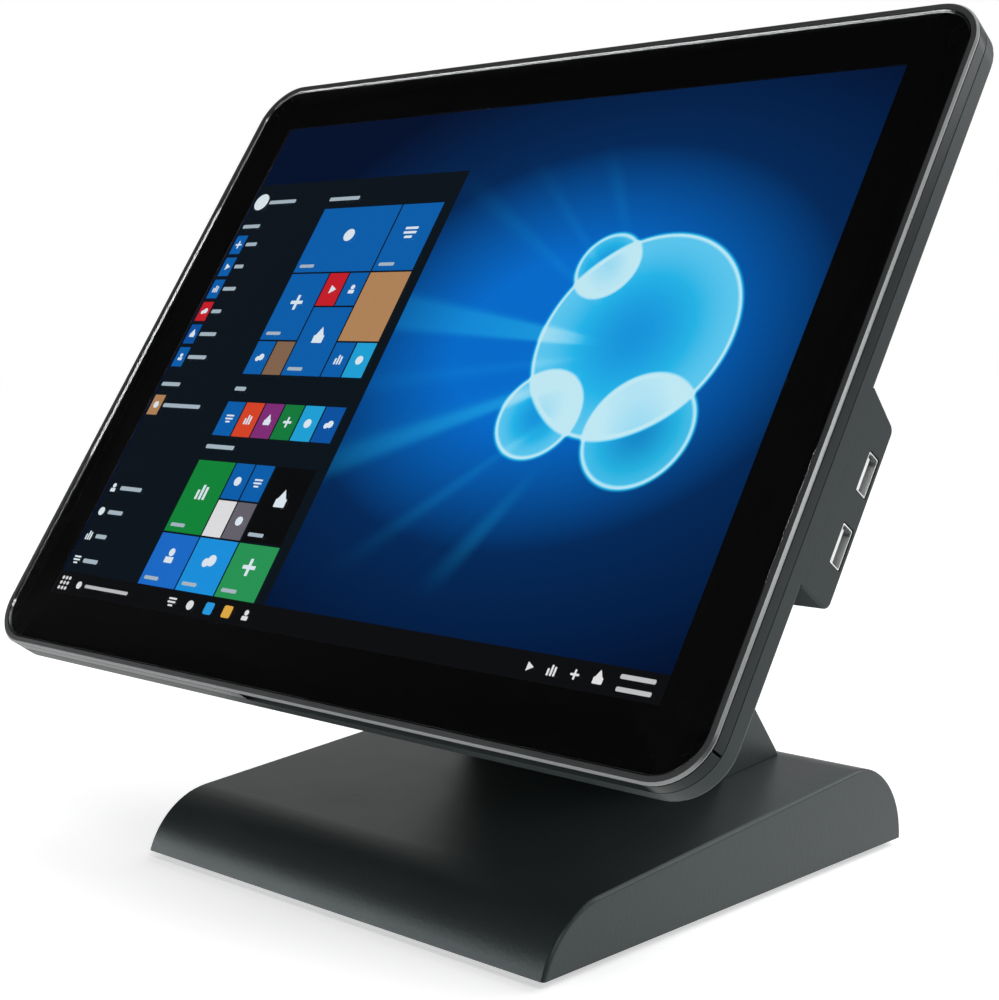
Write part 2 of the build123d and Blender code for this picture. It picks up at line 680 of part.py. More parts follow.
vent_pitch, vent_count, vent_length, vent_w = 8.0, 26, 20.0, 2.4
mouth_w, mouth_h = head_w - 2 * box_mouth_margin, box_top - box_bottom - 2 * box_mouth_margin
box_mid = (box_top + box_bottom) / 2
shell_boss_r = 3.4
with BuildPart() as rear_shell:
    with BuildSketch(at(shell_front)):
        RectangleRounded(head_w, head_h, head_r)
    extrude(amount=shell_front - head_edge_t)
    fillet(rear_shell.faces().sort_by(out_axis)[0].edges(), shell_edge_r)
    with BuildSketch(at(shell_front)):
        RectangleRounded(inside_w, inside_h, head_r - shell_wall)
    extrude(amount=shell_front - head_edge_t + shell_wall, mode=Mode.SUBTRACT)
    with BuildSketch(at(head_edge_t)):
        with Locations((0, box_mid)):
            Rectangle(mouth_w, mouth_h)
        with Locations((0, 96)):
            with GridLocations(vent_pitch, 1, vent_count, 1):
                SlotOverall(vent_length, vent_w, rotation=90)
    extrude(amount=2 * shell_wall, mode=Mode.SUBTRACT)
    with BuildSketch(at(chassis_back)):
        with Locations(*shell_screws_at):
            Circle(shell_boss_r)
    extrude(amount=chassis_back - head_edge_t + shell_wall / 2)
    with BuildSketch(at(chassis_back)):
        with Locations(*shell_screws_at):
            Circle(board_screw_r + thread_gap)
    extrude(amount=chassis_back - head_edge_t, mode=Mode.SUBTRACT)
save(rear_shell, "rear_shell")

shell_screws = screw_group(at(head_edge_t), shell_screws_at, board_screw_r,
                           head_edge_t - frame_back + shell_screw_grip, *shell_screw_head,
                           side=-1)
save(shell_screws, "rear_shell_screws")

# ---------------------------------------------------------------- electronics housing


def box_outline(inset=0.0):
    """Housing profile in a head section, walls moved in by the inset."""
    Polygon((box_top - inset, -head_edge_t), (box_top_back - inset, -box_depth + inset),
            (box_bottom + inset, -box_depth + inset), (box_bottom + inset, -head_edge_t),
            align=None)


side_wall_in = head_w / 2 - box_wall
usb_side_depth = usb_board_front + board_t + usb_h / 2
down_depth = board_back
down_wall = edge_plane(box_bottom)
main_ports = [((x, down_depth + usb_h / 2), usb_w, usb_h) for x in usb_down_across]
main_ports += [((x, down_depth + serial_h / 2), serial_w, serial_h) for x in serial_across]
main_ports += [((lan_across, down_depth + lan_h / 2), lan_w, lan_h)]
main_ports += [((dc_across, down_depth + dc_h / 2), dc_w, dc_h)]
cover_vents = [(x, up) for x in (-118, -94, -70, 70, 94, 118) for up in (-24, -46)]

with BuildPart() as electronics_cover:
    with BuildSketch(head_section(-head_w / 2)):
        box_outline()
    extrude(amount=head_w)
    back_edges = electronics_cover.edges().filter_by(Axis.X)
    fillet(back_edges.sort_by(out_axis)[:2], box_edge_r)
    side_edges = electronics_cover.faces().filter_by(Axis.X).edges()
    fillet(side_edges.filter_by(lambda edge: (edge.center() - head_centre).dot(out_dir)
                                < -head_edge_t - 0.1), box_side_r)
    with BuildSketch(head_section(-side_wall_in)):
        box_outline(box_wall)
    extrude(amount=2 * side_wall_in, mode=Mode.SUBTRACT)
    with BuildSketch(head_section(side_wall_in)):
        with Locations(*[(up, -usb_side_depth) for up in usb_side_up]):
            RectangleRounded(usb_w + 2 * usb_mouth_gap, usb_h + 2 * usb_mouth_gap,
                             mouth_corner_r)
    extrude(amount=box_wall, mode=Mode.SUBTRACT)
    with BuildSketch(head_section(-head_w / 2)):
        with Locations((button_up, -button_depth)):
            Circle(button_r + swing_gap)
    extrude(amount=box_wall, mode=Mode.SUBTRACT)
    with BuildSketch(down_wall):
        for place, width, height in main_ports:
            with Locations(place):
                RectangleRounded(width + 2 * usb_mouth_gap, height + 2 * usb_mouth_gap,
                             mouth_corner_r)
    extrude(amount=box_wall, mode=Mode.SUBTRACT)
    with BuildSketch(at(box_depth)):
        with Locations(*hinge_screws_at):
            Circle(hinge_screw_r + thread_gap)
        with Locations(*cover_posts_at):
            Circle(board_screw_r + thread_gap)
        with Locations(*cover_vents):
            SlotOverall(16, 2.4, rotation=90)
    extrude(amount=box_wall, mode=Mode.SUBTRACT)
save(electronics_cover, "electronics_cover")

box_inner_back = box_depth - box_wall
with BuildPart() as cover_posts:
    with BuildSketch(at(chassis_back)):
        with Locations(*cover_posts_at):
            RegularPolygon(post_r, 6)
            Circle(board_screw_r + thread_gap, mode=Mode.SUBTRACT)
    extrude(amount=chassis_back - box_inner_back)
save(cover_posts, "cover_posts")

cover_screws = screw_group(at(box_depth), cover_posts_at, board_screw_r,
                           box_wall + cover_screw_grip, *cover_screw_head, side=-1)
save(cover_screws, "cover_screws")

with BuildPart() as hinge_backing_plate:
    with BuildSketch(at(box_inner_back - backing_t)):
        with Locations((0, pivot_up)):
            Rectangle(hinge_plate_w, hinge_plate_h - 6)
        with Locations(*hinge_screws_at):
            Circle(hinge_screw_r + thread_gap, mode=Mode.SUBTRACT)
    extrude(amount=-backing_t)
save(hinge_backing_plate, "hinge_backing_plate")

with BuildPart() as hinge_posts:
    with BuildSketch(at(chassis_back)):
        with Locations(*hinge_posts_at):
            RegularPolygon(hinge_post_r, 6)
            Circle(hinge_screw_r + thread_gap, mode=Mode.SUBTRACT)
    extrude(amount=chassis_back - box_inner_back + backing_t)
save(hinge_posts, "hinge_posts")

hinge_screws = screw_group(at(plate_face), hinge_screws_at, hinge_screw_r,
                           hinge_plate_t + box_wall + backing_t + hinge_screw_spare,
                           *hinge_screw_head, side=-1)
save(hinge_screws, "hinge_screws")

# ---------------------------------------------------------------- boards and sockets
with BuildPart() as mainboard:
    with BuildSketch(at(board_front)):
        with Locations(main_board_centre):
            Rectangle(main_board_w, main_board_h)
        with Locations(*hinge_posts_at):
            Circle(hinge_post_r + post_hole_gap, mode=Mode.SUBTRACT)
        with Locations(*main_standoffs_at):
            Circle(board_screw_r + thread_gap, mode=Mode.SUBTRACT)
    extrude(amount=-board_t)
save(mainboard, "mainboard")

with BuildPart() as switch_board:
    with BuildSketch(at(board_front)):
        with Locations(switch_board_at):
            Rectangle(switch_board_w, switch_board_h)
        with Locations(*switch_standoffs_at):
            Circle(board_screw_r + thread_gap, mode=Mode.SUBTRACT)
    extrude(amount=-board_t)
save(switch_board, "switch_board")

with BuildPart() as usb_board:
    with BuildSketch(at(usb_board_front)):
        with Locations(usb_board_at):
            Rectangle(usb_board_w, usb_board_h)
        with Locations(*usb_posts_at):
            Circle(board_screw_r + thread_gap, mode=Mode.SUBTRACT)
    extrude(amount=-board_t)
save(usb_board, "usb_board")

low_standoffs_at = main_standoffs_at + switch_standoffs_at
with BuildPart() as board_standoffs:
    with BuildSketch(at(chassis_back)):
        with Locations(*low_standoffs_at):
            RegularPolygon(standoff_r, 6)
            Circle(board_screw_r + thread_gap, mode=Mode.SUBTRACT)
    extrude(amount=chassis_back - board_front)
    with BuildSketch(at(chassis_back)):
        with Locations(*usb_posts_at):
            RegularPolygon(standoff_r, 6)
            Circle(board_screw_r + thread_gap, mode=Mode.SUBTRACT)
    extrude(amount=chassis_back - usb_board_front)
save(board_standoffs, "board_standoffs")

with BuildPart() as board_screws:
    for back, points in ((board_back, low_standoffs_at), (usb_board_front + board_t, usb_posts_at)):
        with BuildSketch(at(back)):
            with Locations(*points):
                Circle(board_screw_head[0])
        extrude(amount=-board_screw_head[1])
        with BuildSketch(at(back)):
            with Locations(*points):
                Circle(board_screw_r)
        extrude(amount=board_t + board_screw_grip)
save(board_screws, "board_screws")

processor_back = board_back + processor_t
heat_sink_back = board_back + heat_sink_t
with BuildPart() as processor:
    with BuildSketch(at(board_back)):
        with Locations(heat_sink_at):
            RectangleRounded(processor_w, processor_w, 1)
    extrude(amount=-processor_t)
save(processor, "processor")

with BuildPart() as heat_sink:
    with BuildSketch(at(processor_back)):
        with Locations(heat_sink_at):
            Rectangle(heat_sink_w, heat_sink_h)
    extrude(amount=processor_back - heat_sink_back)
    with BuildSketch(at(heat_sink_back)):
        with Locations(heat_sink_at):
            with GridLocations(sink_pitch, 1, sink_slots, 1):
                Rectangle(sink_slot, heat_sink_h + 2)
    extrude(amount=heat_sink_back - processor_back - sink_floor, mode=Mode.SUBTRACT)
save(heat_sink, "heat_sink")

memory_seat_up = memory_at[1] + memory_h / 2
with BuildPart() as memory_module:
    with BuildSketch(at(board_back)):
        with Locations((memory_at[0], memory_seat_up)):
            Rectangle(memory_seat_w, memory_seat_h)
    extrude(amount=-card_seat_t)
    with BuildSketch(at(board_back + memory_lift)):
        with Locations(memory_at):
            Rectangle(memory_w, memory_h)
    extrude(amount=-card_t)
    with BuildSketch(at(board_back + memory_lift + card_t)):
        with Locations((memory_at[0], memory_at[1] - 3)):
            with GridLocations(16, 12, 2, 1):
                Rectangle(11, 9)
    extrude(amount=-chip_t)
save(memory_module, "memory_module")

drive_seat_across = drive_at[0] + drive_w / 2 - 1
with BuildPart() as storage_drive:
    with BuildSketch(at(board_back)):
        with Locations((drive_seat_across, drive_at[1])):
            Rectangle(drive_seat_w, drive_h)
    extrude(amount=-card_seat_t)
    with BuildSketch(at(board_back + drive_lift)):
        with Locations(drive_at):
            Rectangle(drive_w, drive_h)
    extrude(amount=-card_t)
    with BuildSketch(at(board_back + drive_lift + card_t)):
        with Locations((drive_at[0] - 2, drive_at[1])):
            with GridLocations(17, 1, 2, 1):
                Rectangle(13, 17)
    extrude(amount=-chip_t)
save(storage_drive, "storage_drive")

side_socket_face = head_w / 2 - socket_reveal
down_socket_face = box_bottom + socket_reveal


def usb_shell_sketch(places, rotation=0):
    with Locations(*places):
        RectangleRounded(usb_w, usb_h, 0.5, rotation=rotation)
        RectangleRounded(usb_w - 2 * usb_sheet, usb_h - 2 * usb_sheet, 0.3, rotation=rotation,
                         mode=Mode.SUBTRACT)


def usb_block_sketch(places, width, height):
    with Locations(*places):
        Rectangle(width, height)


usb_block_w = usb_w - 2 * usb_sheet - 2 * usb_block_gap
usb_block_h = usb_h - 2 * usb_sheet - 2 * usb_block_gap
side_usb_places = [(up, -usb_side_depth) for up in usb_side_up]
with BuildPart() as side_usb_shells:
    with BuildSketch(head_section(side_socket_face)):
        usb_shell_sketch(side_usb_places)
    extrude(amount=-usb_length)
save(side_usb_shells, "side_usb_shells")

with BuildPart() as side_usb_tongues:
    with BuildSketch(head_section(side_socket_face - usb_length)):
        usb_block_sketch(side_usb_places, usb_block_w, usb_block_h)
    extrude(amount=usb_block_t)
    with BuildSketch(head_section(side_socket_face - usb_length)):
        usb_block_sketch([(up, y + usb_tongue_off) for up, y in side_usb_places],
                         usb_tongue_w, usb_tongue_t)
    extrude(amount=usb_length - usb_tongue_back)
save(side_usb_tongues, "side_usb_tongues")

down_usb_places = [(x, down_depth + usb_h / 2) for x in usb_down_across]
with BuildPart() as lower_usb_shells:
    with BuildSketch(edge_plane(down_socket_face)):
        usb_shell_sketch(down_usb_places)
    extrude(amount=usb_length)
save(lower_usb_shells, "lower_usb_shells")

with BuildPart() as lower_usb_tongues:
    with BuildSketch(edge_plane(down_socket_face + usb_length)):
        usb_block_sketch(down_usb_places, usb_block_w, usb_block_h)
    extrude(amount=-usb_block_t)
    with BuildSketch(edge_plane(down_socket_face + usb_length)):
        usb_block_sketch([(x, y - usb_tongue_off) for x, y in down_usb_places],
                         usb_tongue_w, usb_tongue_t)
    extrude(amount=usb_tongue_back - usb_length)
save(lower_usb_tongues, "lower_usb_tongues")

with BuildPart() as lan_port:
    with BuildSketch(edge_plane(down_socket_face)):
        with Locations((lan_across, down_depth + lan_h / 2)):
            Rectangle(lan_w, lan_h)
    extrude(amount=lan_length)
    with BuildSketch(edge_plane(down_socket_face)):
        with Locations((lan_across, down_depth + lan_h / 2)):
            Rectangle(lan_w - 2 * lan_wall, lan_h - 2 * lan_wall)
    extrude(amount=lan_length - 3, mode=Mode.SUBTRACT)
save(lan_port, "lan_port")

with BuildPart() as serial_ports:
    places = [(x, down_depth + serial_h / 2) for x in serial_across]
    with BuildSketch(edge_plane(down_socket_face + 2)):
        with Locations(*places):
            Rectangle(serial_w, serial_h)
    extrude(amount=serial_length)
    with BuildSketch(edge_plane(down_socket_face)):
        with Locations(*places):
            Trapezoid(17, 8.4, 80)
            offset(amount=-0.6, mode=Mode.SUBTRACT)
    extrude(amount=2)
    for count, row in ((5, 1.4), (4, -1.4)):
        with BuildSketch(edge_plane(down_socket_face + 0.5)):
            for x, y in places:
                with Locations((x, y + row)):
                    with GridLocations(2.77, 1, count, 1):
                        Circle(0.5)
        extrude(amount=1.5)
save(serial_ports, "serial_ports")

with BuildPart() as power_inlet:
    with BuildSketch(edge_plane(down_socket_face)):
        with Locations((dc_across, down_depth + dc_h / 2)):
            Rectangle(dc_w, dc_h)
            Circle(dc_bore_r, mode=Mode.SUBTRACT)
    extrude(amount=dc_length)
    with BuildSketch(edge_plane(down_socket_face + dc_length)):
        with Locations((dc_across, down_depth + dc_h / 2)):
            Circle(dc_bore_r)
    extrude(amount=-2)
    with BuildSketch(edge_plane(down_socket_face + dc_length)):
        with Locations((dc_across, down_depth + dc_h / 2)):
            Circle(1.0)
    extrude(amount=1 - dc_length)
save(power_inlet, "power_inlet")

# ---------------------------------------------------------------- power button
wall_in_x = -side_wall_in
flange_x = wall_in_x + swing_gap
with BuildPart() as power_button:
    with BuildSketch(head_section(flange_x)):
        with Locations((button_up, -button_depth)):
            Circle(button_r)
    extrude(amount=-(swing_gap + box_wall + button_proud))
    chamfer(power_button.faces().sort_by(Axis.X)[0].edges(), button_edge)
    with BuildSketch(head_section(flange_x)):
        with Locations((button_up, -button_depth)):
            Circle(button_flange_r)
    extrude(amount=button_flange_t)
save(power_button, "power_button")

switch_face = flange_x + button_flange_t + button_travel + switch_rest_gap
with BuildPart() as power_switch:
    with BuildSketch(head_section(switch_face)):
        with Locations((button_up, -button_depth)):
            Circle(switch_tip_r)
    extrude(amount=switch_tip_t)
    with BuildSketch(head_section(switch_face + switch_tip_t)):
        with Locations((button_up, -(board_back + button_depth + switch_back) / 2)):
            Rectangle(switch_w, button_depth + switch_back - board_back)
    extrude(amount=switch_t)
save(power_switch, "power_switch")

# ---------------------------------------------------------------- touch controller and cable
with BuildPart() as touch_controller:
    with BuildSketch(at(chassis_back)):
        with Locations(touch_board_at):
            Rectangle(touch_board_w, touch_board_h)
    extrude(amount=-touch_board_t)
    with BuildSketch(at(chassis_back + touch_board_t)):
        with Locations((touch_board_at[0] - 8, touch_board_at[1])):
            Rectangle(9, 8)
        with Locations((touch_board_at[0] + 16, touch_board_at[1])):
            Rectangle(14, 3)
    extrude(amount=-touch_chip_t)
save(touch_controller, "touch_controller")

cable_foot_up = main_board_centre[1] + main_board_h / 2 - cable_tuck
with BuildPart() as display_cable:
    with BuildSketch(head_section(cable_left)):
        with BuildLine():
            Polyline((cable_top, -chassis_back - cable_t),
                     (cable_foot_up + cable_ramp, -chassis_back - cable_t),
                     (cable_foot_up, -board_front + cable_t),
                     (cable_foot_up - cable_tuck, -board_front + cable_t))
        trace(line_width=cable_t)
    extrude(amount=cable_w)
save(display_cable, "display_cable")
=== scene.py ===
import math

import bpy
from mathutils import Matrix, Vector


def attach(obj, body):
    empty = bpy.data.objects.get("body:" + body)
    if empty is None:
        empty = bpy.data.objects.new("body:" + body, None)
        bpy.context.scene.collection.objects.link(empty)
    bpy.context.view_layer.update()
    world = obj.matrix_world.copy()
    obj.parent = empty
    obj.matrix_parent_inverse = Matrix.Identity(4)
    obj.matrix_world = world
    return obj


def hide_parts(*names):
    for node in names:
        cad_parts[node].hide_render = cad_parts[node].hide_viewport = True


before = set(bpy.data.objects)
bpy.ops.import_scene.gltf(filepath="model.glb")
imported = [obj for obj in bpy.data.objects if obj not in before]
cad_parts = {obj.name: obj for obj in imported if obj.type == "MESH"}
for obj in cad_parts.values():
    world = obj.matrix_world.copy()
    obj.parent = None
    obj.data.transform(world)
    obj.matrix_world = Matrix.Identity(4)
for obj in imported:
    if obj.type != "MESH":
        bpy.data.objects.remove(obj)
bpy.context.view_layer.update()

bl_info = {
    "name": "Touchscreen Kiosk",
    "version": (1, 0, 0),
    "blender": (4, 5, 0),
    "location": "3D View > Sidebar > Kiosk",
    "description": "Finishes the countertop touchscreen kiosk: shells, glass, lit picture and sockets",
    "category": "Object",
}

MM = 0.001

# Merged copies: corners this near become one, in millimetres, and in degrees a fold this
# slight is dissolved, an edge this sharp is broken and a curve up to this slight is smooth.
MERGE_MM = 0.002
FLAT_FOLD = 0.4
BROKEN_FROM = 38
SMOOTH_UP_TO = 32


# ---------------------------------------------------------------- settings
def length_mm(name, description, default, lowest=0.0):
    """A length property, kept and shown in millimetres."""
    return bpy.props.FloatProperty(name=name, description=f"{description}, in millimetres",
                                   default=default, min=lowest, precision=3)


def paint(name, description, code):
    """A colour property from an sRGB hex value, kept as linear light."""
    return bpy.props.FloatVectorProperty(name=name, description=description, size=4,
                                         subtype="COLOR", min=0.0, max=1.0,
                                         default=linear(code))


def linear(code, alpha=1.0):
    """Linear RGBA from an sRGB hex value such as "3b4041"."""
    values = [int(code[i:i + 2], 16) / 255 for i in (0, 2, 4)]
    return tuple(v / 12.92 if v <= 0.04045 else ((v + 0.055) / 1.055) ** 2.4
                 for v in values) + (alpha,)


class KioskHead(bpy.types.PropertyGroup):
    tilt: bpy.props.FloatProperty(name="Tilt", description="Lean of the screen back from upright",
                                  default=math.radians(33.8), subtype="ANGLE")
    glass_sunk: length_mm("Glass sunk", "Glass face below the rim", 0.2)
    picture_w: length_mm("Picture width", "Lit picture", 304.1)
    picture_h: length_mm("Picture height", "Lit picture", 228.1)
    picture_depth: length_mm("Picture depth", "Lit picture behind the rim", 2.72)
    film_t: length_mm("Film", "Thickness of each layer of the picture", 0.03)
    head_w: length_mm("Head width", "Across the head", 350.0)
    blend_w: length_mm("Blend width", "Filler into the side wall", 1.7)
    blend_front: length_mm("Blend front", "Where the filler starts behind the rim", 11.5)
    blend_back: length_mm("Blend back", "Where the filler ends behind the rim", 13.8)
    blend_top: length_mm("Blend top", "Upper end of the filler, from the head's middle", -1.2, -200.0)
    blend_bottom: length_mm("Blend bottom", "Lower end of the filler, from the head's middle",
                            -66.9, -200.0)
    blend_break: length_mm("Blend edge break", "Broken edge of the filler", 0.02)
    blend_inset: length_mm("Blend inset", "How far the filler stays inside the head's side", 0.01)


class KioskFinish(bpy.types.PropertyGroup):
    coat: paint("Powder coat", "Base and neck", "272c2c")
    housing: paint("Housing", "Moulded shells of the head", "202626")
    rim: paint("Rim", "Anodised front frame", "7c7e7f")
    trim: paint("Trim", "Band round the edge of the head", "151919")
    edge_bevel: length_mm("Edge break", "Rounding of sharp moulded edges", 0.25)
    frame_bevel: length_mm("Frame edge break", "Rounding of the front frame's edges", 0.12)
    trim_bevel: length_mm("Trim edge break", "Rounding of the trim band's edges", 0.18)
    coat_grain: length_mm("Coat grain", "Width of a bump in the powder coat", 1.4)
    mould_grain: length_mm("Mould grain", "Width of a bump in the moulded texture", 1.0)


class KioskPicture(bpy.types.PropertyGroup):
    brightness: bpy.props.FloatProperty(name="Brightness", description="Strength of the lit picture",
                                        default=1.0, min=0.0)
    deep: paint("Deep", "Corners of the wallpaper", "001030")
    dusk: paint("Dusk", "Outer part of the glow", "012a5c")
    azure: paint("Azure", "Middle of the glow", "0470d4")
    bright: paint("Bright", "Inner part of the glow", "12a4f2")
    core: paint("Core", "Clear shapes in the glow", "2cccfb")
    menu: paint("Menu", "Menu panel", "0a141d")
    bar: paint("Bar", "Task bar", "0c0d10")


class KioskStage(bpy.types.PropertyGroup):
    floor: paint("Floor", "Pale floor", "f4f4f4")
    floor_glow: bpy.props.FloatProperty(name="Floor glow", description="The floor's own light",
                                        default=0.56, min=0.0)
    wall_light: bpy.props.FloatProperty(name="Wall light", description="Light of the studio's walls",
                                        default=0.6, min=0.0)
    ceiling_light: bpy.props.FloatProperty(name="Ceiling light",
                                           description="Light of the ceiling diffuser",
                                           default=1.0, min=0.0)
    camera_place: bpy.props.FloatVectorProperty(name="Camera", description="Camera position",
                                                default=(0.45585, -0.49553, 0.20897),
                                                subtype="TRANSLATION", unit="LENGTH")
    camera_turn: bpy.props.FloatProperty(name="Turn", description="Camera heading, from +Y towards -X",
                                         default=math.radians(42.954), subtype="ANGLE")
    camera_drop: bpy.props.FloatProperty(name="Drop", description="Camera looking down",
                                         default=math.radians(5.961), subtype="ANGLE")
    lens: bpy.props.FloatProperty(name="Lens", description="Focal length", default=64.43,
                                  unit="CAMERA")


GROUPS = {"kiosk_head": KioskHead, "kiosk_finish": KioskFinish,
          "kiosk_picture": KioskPicture, "kiosk_stage": KioskStage}


# ---------------------------------------------------------------- materials
def add_node(tree, kind, settings=None, links=None, **inputs):
    """Add a node: settings are its own values, links join other nodes' sockets to its inputs,
    and inputs are values on its sockets."""
    node = tree.nodes.new(kind)
    for key, value in (settings or {}).items():
        setattr(node, key, value)
    for key, value in inputs.items():
        node.inputs[key.replace("_", " ")].default_value = value
    for key, source in (links or {}).items():
        tree.links.new(source, node.inputs[key])
    return node


def math_node(tree, operation, *values):
    """A Math node on one to three values, each a socket or a number."""
    node = add_node(tree, "ShaderNodeMath", {"operation": operation})
    for index, value in enumerate(values):
        if isinstance(value, (int, float)):
            node.inputs[index].default_value = value
        else:
            tree.links.new(value, node.inputs[index])
    return node.outputs[0]


def new_material(name):
    """A new material, its node tree and the shader in it."""
    material = bpy.data.materials.new(name)
    material.use_nodes = True
    return material, material.node_tree, material.node_tree.nodes["Principled BSDF"]


def stretched_coords(tree, stretch):
    """The piece's own coordinates, each times its factor: below 1 draws a grain out."""
    own = add_node(tree, "ShaderNodeTexCoord").outputs["Object"]
    place = add_node(tree, "ShaderNodeMapping", links={"Vector": own}, Scale=stretch)
    return place.outputs[0]


def ramp(tree, source, stops):
    """A colour ramp through (place, colour) stops."""
    node = add_node(tree, "ShaderNodeValToRGB", links={"Fac": source})
    band = node.color_ramp
    while len(band.elements) > 1:
        band.elements.remove(band.elements[-1])
    band.elements[0].position, band.elements[0].color = stops[0]
    for place, colour in stops[1:]:
        band.elements.new(place).color = colour
    return node.outputs["Color"]


def shade(colour, factor):
    """The same colour, lighter or darker."""
    return tuple(min(1.0, c * factor) for c in colour[:3]) + (1.0,)


# How far the roughness of a grained finish wanders either way.
ROUGHNESS_DRIFT = 0.05


def grained(name, colour, roughness, grain_mm, height_mm, metallic=0.0, mottle=0.06,
            mottle_mm=30.0, stretch=(1, 1, 1), specular=0.5, sheen_cast="ffffff"):
    """A finish with a fine bump, a slight mottle in colour and a roughness that wanders. The
    grain is a bump's width, and the mottle the share by which the colour goes up and down."""
    material, tree, shader = new_material(name)
    place = stretched_coords(tree, stretch)
    fine = add_node(tree, "ShaderNodeTexNoise", links={"Vector": place},
                    Scale=1 / (grain_mm * MM), Detail=2.0, Roughness=0.55)
    cloud = add_node(tree, "ShaderNodeTexNoise", links={"Vector": place},
                     Scale=1 / (mottle_mm * MM), Detail=3.0, Roughness=0.6)
    tint = ramp(tree, cloud.outputs["Fac"], [(0.3, shade(colour, 1 - mottle)),
                                             (0.7, shade(colour, 1 + mottle))])
    tree.links.new(tint, shader.inputs["Base Color"])
    rough = add_node(tree, "ShaderNodeMapRange", links={"Value": cloud.outputs["Fac"]})
    rough.inputs["To Min"].default_value = max(0.0, roughness - ROUGHNESS_DRIFT)
    rough.inputs["To Max"].default_value = roughness + ROUGHNESS_DRIFT
    tree.links.new(rough.outputs[0], shader.inputs["Roughness"])
    bump = add_node(tree, "ShaderNodeBump", links={"Height": fine.outputs["Fac"]},
                    Strength=0.6, Distance=height_mm * MM)
    tree.links.new(bump.outputs["Normal"], shader.inputs["Normal"])
    shader.inputs["Metallic"].default_value = metallic
    shader.inputs["Specular IOR Level"].default_value = specular
    shader.inputs["Specular Tint"].default_value = linear(sheen_cast)
    return material


# What the dark finishes mirror is a little cool: the cyan cast of their carbon black.
COOL_SHEEN = "ecfbff"


def powder_coat(finish):
    # Polyester powder on steel: dark satin grey with a faint cyan cast and orange peel, which
    # is drawn about twice as coarse as it is, so that it shows.
    return grained("powder_coated_steel", finish.coat, 0.36, finish.coat_grain, 0.11,
                   mottle=0.05, specular=0.42, sheen_cast=COOL_SHEEN)


def moulded_housing(finish):
    # ABS out of a spark-eroded mould: an even, very fine pebble that softens highlights,
    # drawn coarser than its 0.3 mm, so that it shows.
    return grained("spark_textured_abs", finish.housing, 0.42, finish.mould_grain, 0.07,
                   mottle=0.04, specular=0.24, sheen_cast=COOL_SHEEN)


def anodised_rim(finish):
    # Bead-blasted and anodised alloy: satin, lighter where the bevel turns to the light.
    return grained("anodised_alloy", finish.rim, 0.30, 0.25, 0.006, metallic=0.85, mottle=0.03)


def trim_abs(finish):
    # Glossier moulded strip: nearly black, with a soft sheen along its length.
    return grained("satin_trim_abs", finish.trim, 0.26, 0.6, 0.006, mottle=0.03, specular=0.14,
                   sheen_cast=COOL_SHEEN)


def touch_glass():
    """Chemically strengthened soda-lime glass: clear, mirror smooth, faint wiping marks."""
    material, tree, shader = new_material("strengthened_glass")
    shader.inputs["Base Color"].default_value = (1, 1, 1, 1)
    shader.inputs["Transmission Weight"].default_value = 1.0
    shader.inputs["IOR"].default_value = 1.5
    place = stretched_coords(tree, (1.0, 3.0, 3.0))
    marks = add_node(tree, "ShaderNodeTexNoise", links={"Vector": place},
                     Scale=1 / (60 * MM), Detail=4.0, Roughness=0.6)
    rough = add_node(tree, "ShaderNodeMapRange", links={"Value": marks.outputs["Fac"]})
    rough.inputs["From Min"].default_value = 0.45
    rough.inputs["To Min"].default_value = 0.0
    rough.inputs["To Max"].default_value = 0.03
    tree.links.new(rough.outputs[0], shader.inputs["Roughness"])
    return material


def lit(name, colour, strength):
    """A lit area of the picture: the colour glows and the film itself is black."""
    material, _, shader = new_material(name)
    shader.inputs["Base Color"].default_value = (0, 0, 0, 1)
    shader.inputs["Roughness"].default_value = 0.4
    shader.inputs["Specular IOR Level"].default_value = 0.0
    shader.inputs["Emission Color"].default_value = colour
    shader.inputs["Emission Strength"].default_value = strength
    return material


# ---------------------------------------------------------------- modelling helpers
def head_sizes():
    """The user's sizes of the head."""
    return bpy.context.scene.kiosk_head


def finishes():
    """The user's colours, grains and edge breaks."""
    return bpy.context.scene.kiosk_finish


def head_matrix():
    """Frame of the head: x across, y up the screen, z out of it, on the rim's front plane."""
    tilt = head_sizes().tilt
    up = Vector((0, math.sin(tilt), math.cos(tilt)))
    out = Vector((0, -math.cos(tilt), math.sin(tilt)))
    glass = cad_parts["cover_glass"]
    points = [glass.matrix_world @ vertex.co for vertex in glass.data.vertices]
    heights = [point.dot(up) for point in points]
    front = max(point.dot(out) for point in points) + head_sizes().glass_sunk * MM
    matrix = Matrix((Vector((1, 0, 0)), up, out)).transposed().to_4x4()
    matrix.translation = up * (min(heights) + max(heights)) / 2 + out * front
    return matrix


def start_clean():
    """Leave edit mode and deselect everything, so an operator acts on its own piece."""
    if bpy.context.object and bpy.context.object.mode != "OBJECT":
        bpy.ops.object.mode_set(mode="OBJECT")
    bpy.ops.object.select_all(action="DESELECT")


def take_in_hand(piece):
    """Select this piece alone, and make it the active one."""
    start_clean()
    piece.select_set(True)
    bpy.context.view_layer.objects.active = piece


def settle(piece, body, material):
    """Bake the piece's place into its mesh, give it its finish and let it ride."""
    take_in_hand(piece)
    bpy.ops.object.transform_apply(location=True, rotation=True, scale=True)
    piece.data.materials.clear()
    piece.data.materials.append(material)
    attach(piece, body)
    return piece


def dress(node, material):
    """Give a CAD piece that is shown as it stands its finish."""
    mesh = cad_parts[node].data
    mesh.materials.clear()
    mesh.materials.append(material)


